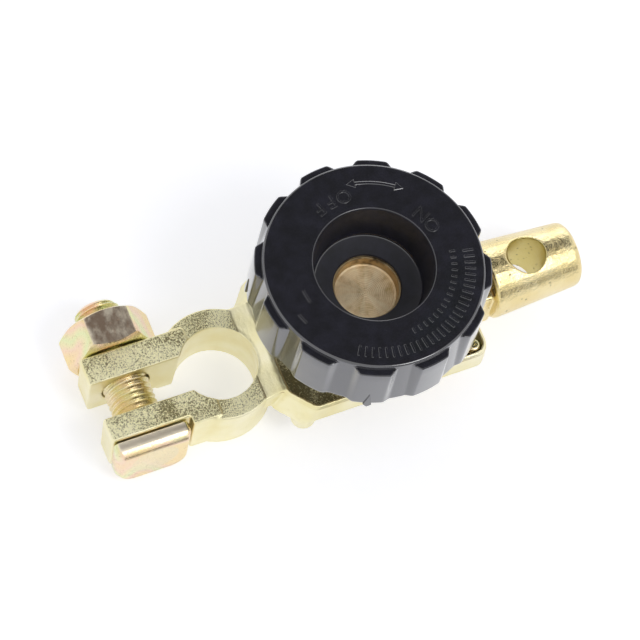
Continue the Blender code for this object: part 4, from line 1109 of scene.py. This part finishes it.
class SWITCH_OT_fixings(bpy.types.Operator):
    """Make the corner screws, washers and bushes, the base cap's screws and the insulation"""
    bl_idname = "switch.fixings"
    bl_label = "Make Fixings"

    def execute(self, context):
        zinc = shared_finish("passivated_zinc", yellow_zinc, context.scene.switch_bolt)
        matt = shared_finish("matt_insulation", black_matt, 0.022)
        places = {"left": [], "right": []}
        for corner in SCREW_CORNERS:
            low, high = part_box("corner_screw_" + corner)
            side = corner.split("_")[0]
            turn = (math.pi, 0.0, 0.6) if side == "left" else (0.0, 0.0, 1.1)
            places[side].append((((low.x + high.x) / 2, (low.y + high.y) / 2, 0.0), turn))
        self.stack(places, "corner_screw", "corner_screws", zinc, "yellow_zinc", self.screw)
        self.stack(places, "corner_washer", "corner_washers", zinc, "yellow_zinc", self.washer)
        self.stack(places, "corner_bush", "corner_bushes", matt, "black_insulation", self.bush)
        ends = []
        for side in ("left", "right"):
            low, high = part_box("cap_screw_" + side)
            ends.append((((low.x + high.x) / 2, 0.0, low.z + high.z), (math.pi, 0.0, 0.5)))
        low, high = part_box("cap_screw_left")
        cap_screw = self.screw(low.z / MM, high.z / MM, (high.x - low.x) / 2 / MM, 1.45)
        place_piece("cap_screws", repeated(cap_screw, ends, zinc), zinc, "switch_body", "yellow_zinc",
                    "cap_screw_left", "cap_screw_right")
        for node in ("insulating_plate", "centre_bush", "base_cap"):
            NODES[node].data.materials.clear()
            NODES[node].data.materials.append(matt)
        return {"FINISHED"}

    def stack(self, places, node, title, material, slot, make):
        """One mesh of the same fixing at the right corners from above and at the left corners from below."""
        forms = []
        for side, turned_over in (("right", False), ("left", True)):
            low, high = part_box(f"{node}_{side}_front")
            bottom, top = low.z / MM, high.z / MM
            if turned_over:
                bottom, top = -top, -bottom
            form = make(bottom, top, (high.x - low.x) / 2 / MM)
            forms.append(form_from(repeated(form, places[side], material)))
        names = [f"{node}_{corner}" for corner in SCREW_CORNERS]
        place_piece(title, mesh_from(join_forms(*forms)), material, "switch_body", slot, *names)

    def screw(self, tip, top, head, shank=0.85):
        """A pan-head screw with a cross recess, in millimetres."""
        seat = top - 1.2
        points = [(0.02, top)] + arc((head - 0.75, top - 0.75), 0.75, 84, 0, 5)
        points += [(head, seat + 0.1), (head - 0.1, seat), (shank, seat), (shank, tip + 0.3),
                   (shank - 0.3, tip), (0.02, tip)]

        def prepare(holder):
            bars = []
            for turn in (0.0, math.pi / 2):
                place = Matrix.Rotation(turn, 4, "Z") @ Matrix.Translation((0.0, 0.0, (top + 0.05) * MM))
                bar = mesh_from(block((head * 1.15 * MM, head * 0.22 * MM, 0.0014), place))
                cutter = new_object("recess", bar)
                modify(holder, "BOOLEAN", operation="DIFFERENCE", solver="EXACT", object=cutter)
                bars.append(cutter)
            return bars

        return form_from(baked(shell(points, 48), prepare))

    def washer(self, low, high, outer):
        """A small flat washer."""
        inner = 1.15
        points = [(inner, low + 0.05), (inner, high - 0.05), (inner + 0.05, high), (outer - 0.08, high),
                  (outer, high - 0.08), (outer, low + 0.08), (outer - 0.08, low), (inner + 0.05, low)]
        return shell(points, 48)

    def bush(self, low, high, outer):
        """A flanged insulating bush."""
        inner, sleeve = 1.15, 1.45
        flange = high - 0.8
        points = [(inner, low), (inner, high), (outer - 0.08, high), (outer, high - 0.08),
                  (outer, flange + 0.05), (outer - 0.03, flange), (sleeve, flange), (sleeve, low)]
        return shell(points, 48)


class SWITCH_PT_panel(bpy.types.Panel):
    """Lists the operators that make the switch, with their settings"""
    bl_idname = "SWITCH_PT_panel"
    bl_label = "Battery Disconnect Switch"
    bl_space_type = "VIEW_3D"
    bl_region_type = "UI"
    bl_category = "Switch"

    def draw(self, context):
        layout = self.layout
        for operator, group in GROUPS:
            box = layout.box()
            box.operator(operator.bl_idname)
            settings = getattr(context.scene, group)
            for name in settings.bl_rna.properties.keys():
                if name not in {"rna_type", "name"}:
                    box.prop(settings, name)


GROUPS = (
    (SWITCH_OT_stage, "switch_stage"),
    (SWITCH_OT_castings, "switch_casting"),
    (SWITCH_OT_knob, "switch_knob"),
    (SWITCH_OT_stud, "switch_stud"),
    (SWITCH_OT_bolt, "switch_bolt"),
    (SWITCH_OT_fixings, "switch_bolt"),
)
SETTINGS = {
    "switch_stage": StageSettings,
    "switch_casting": CastingSettings,
    "switch_knob": KnobSettings,
    "switch_stud": StudSettings,
    "switch_bolt": BoltSettings,
}


def register():
    """Register the settings, the operators and the panel."""
    for name, group in SETTINGS.items():
        bpy.utils.register_class(group)
        setattr(bpy.types.Scene, name, bpy.props.PointerProperty(type=group))
    for operator, group in GROUPS:
        bpy.utils.register_class(operator)
    bpy.utils.register_class(SWITCH_PT_panel)


def unregister():
    """Take everything back out in the opposite order."""
    bpy.utils.unregister_class(SWITCH_PT_panel)
    for operator, group in reversed(GROUPS):
        bpy.utils.unregister_class(operator)
    for name, group in SETTINGS.items():
        delattr(bpy.types.Scene, name)
        bpy.utils.unregister_class(group)


def main():
    """Make the whole switch."""
    register()
    bpy.ops.switch.stage()
    bpy.ops.switch.castings()
    bpy.ops.switch.knob()
    bpy.ops.switch.stud()
    bpy.ops.switch.bolt()
    bpy.ops.switch.fixings()
    bpy.context.view_layer.update()


if __name__ == "__main__":
    main()
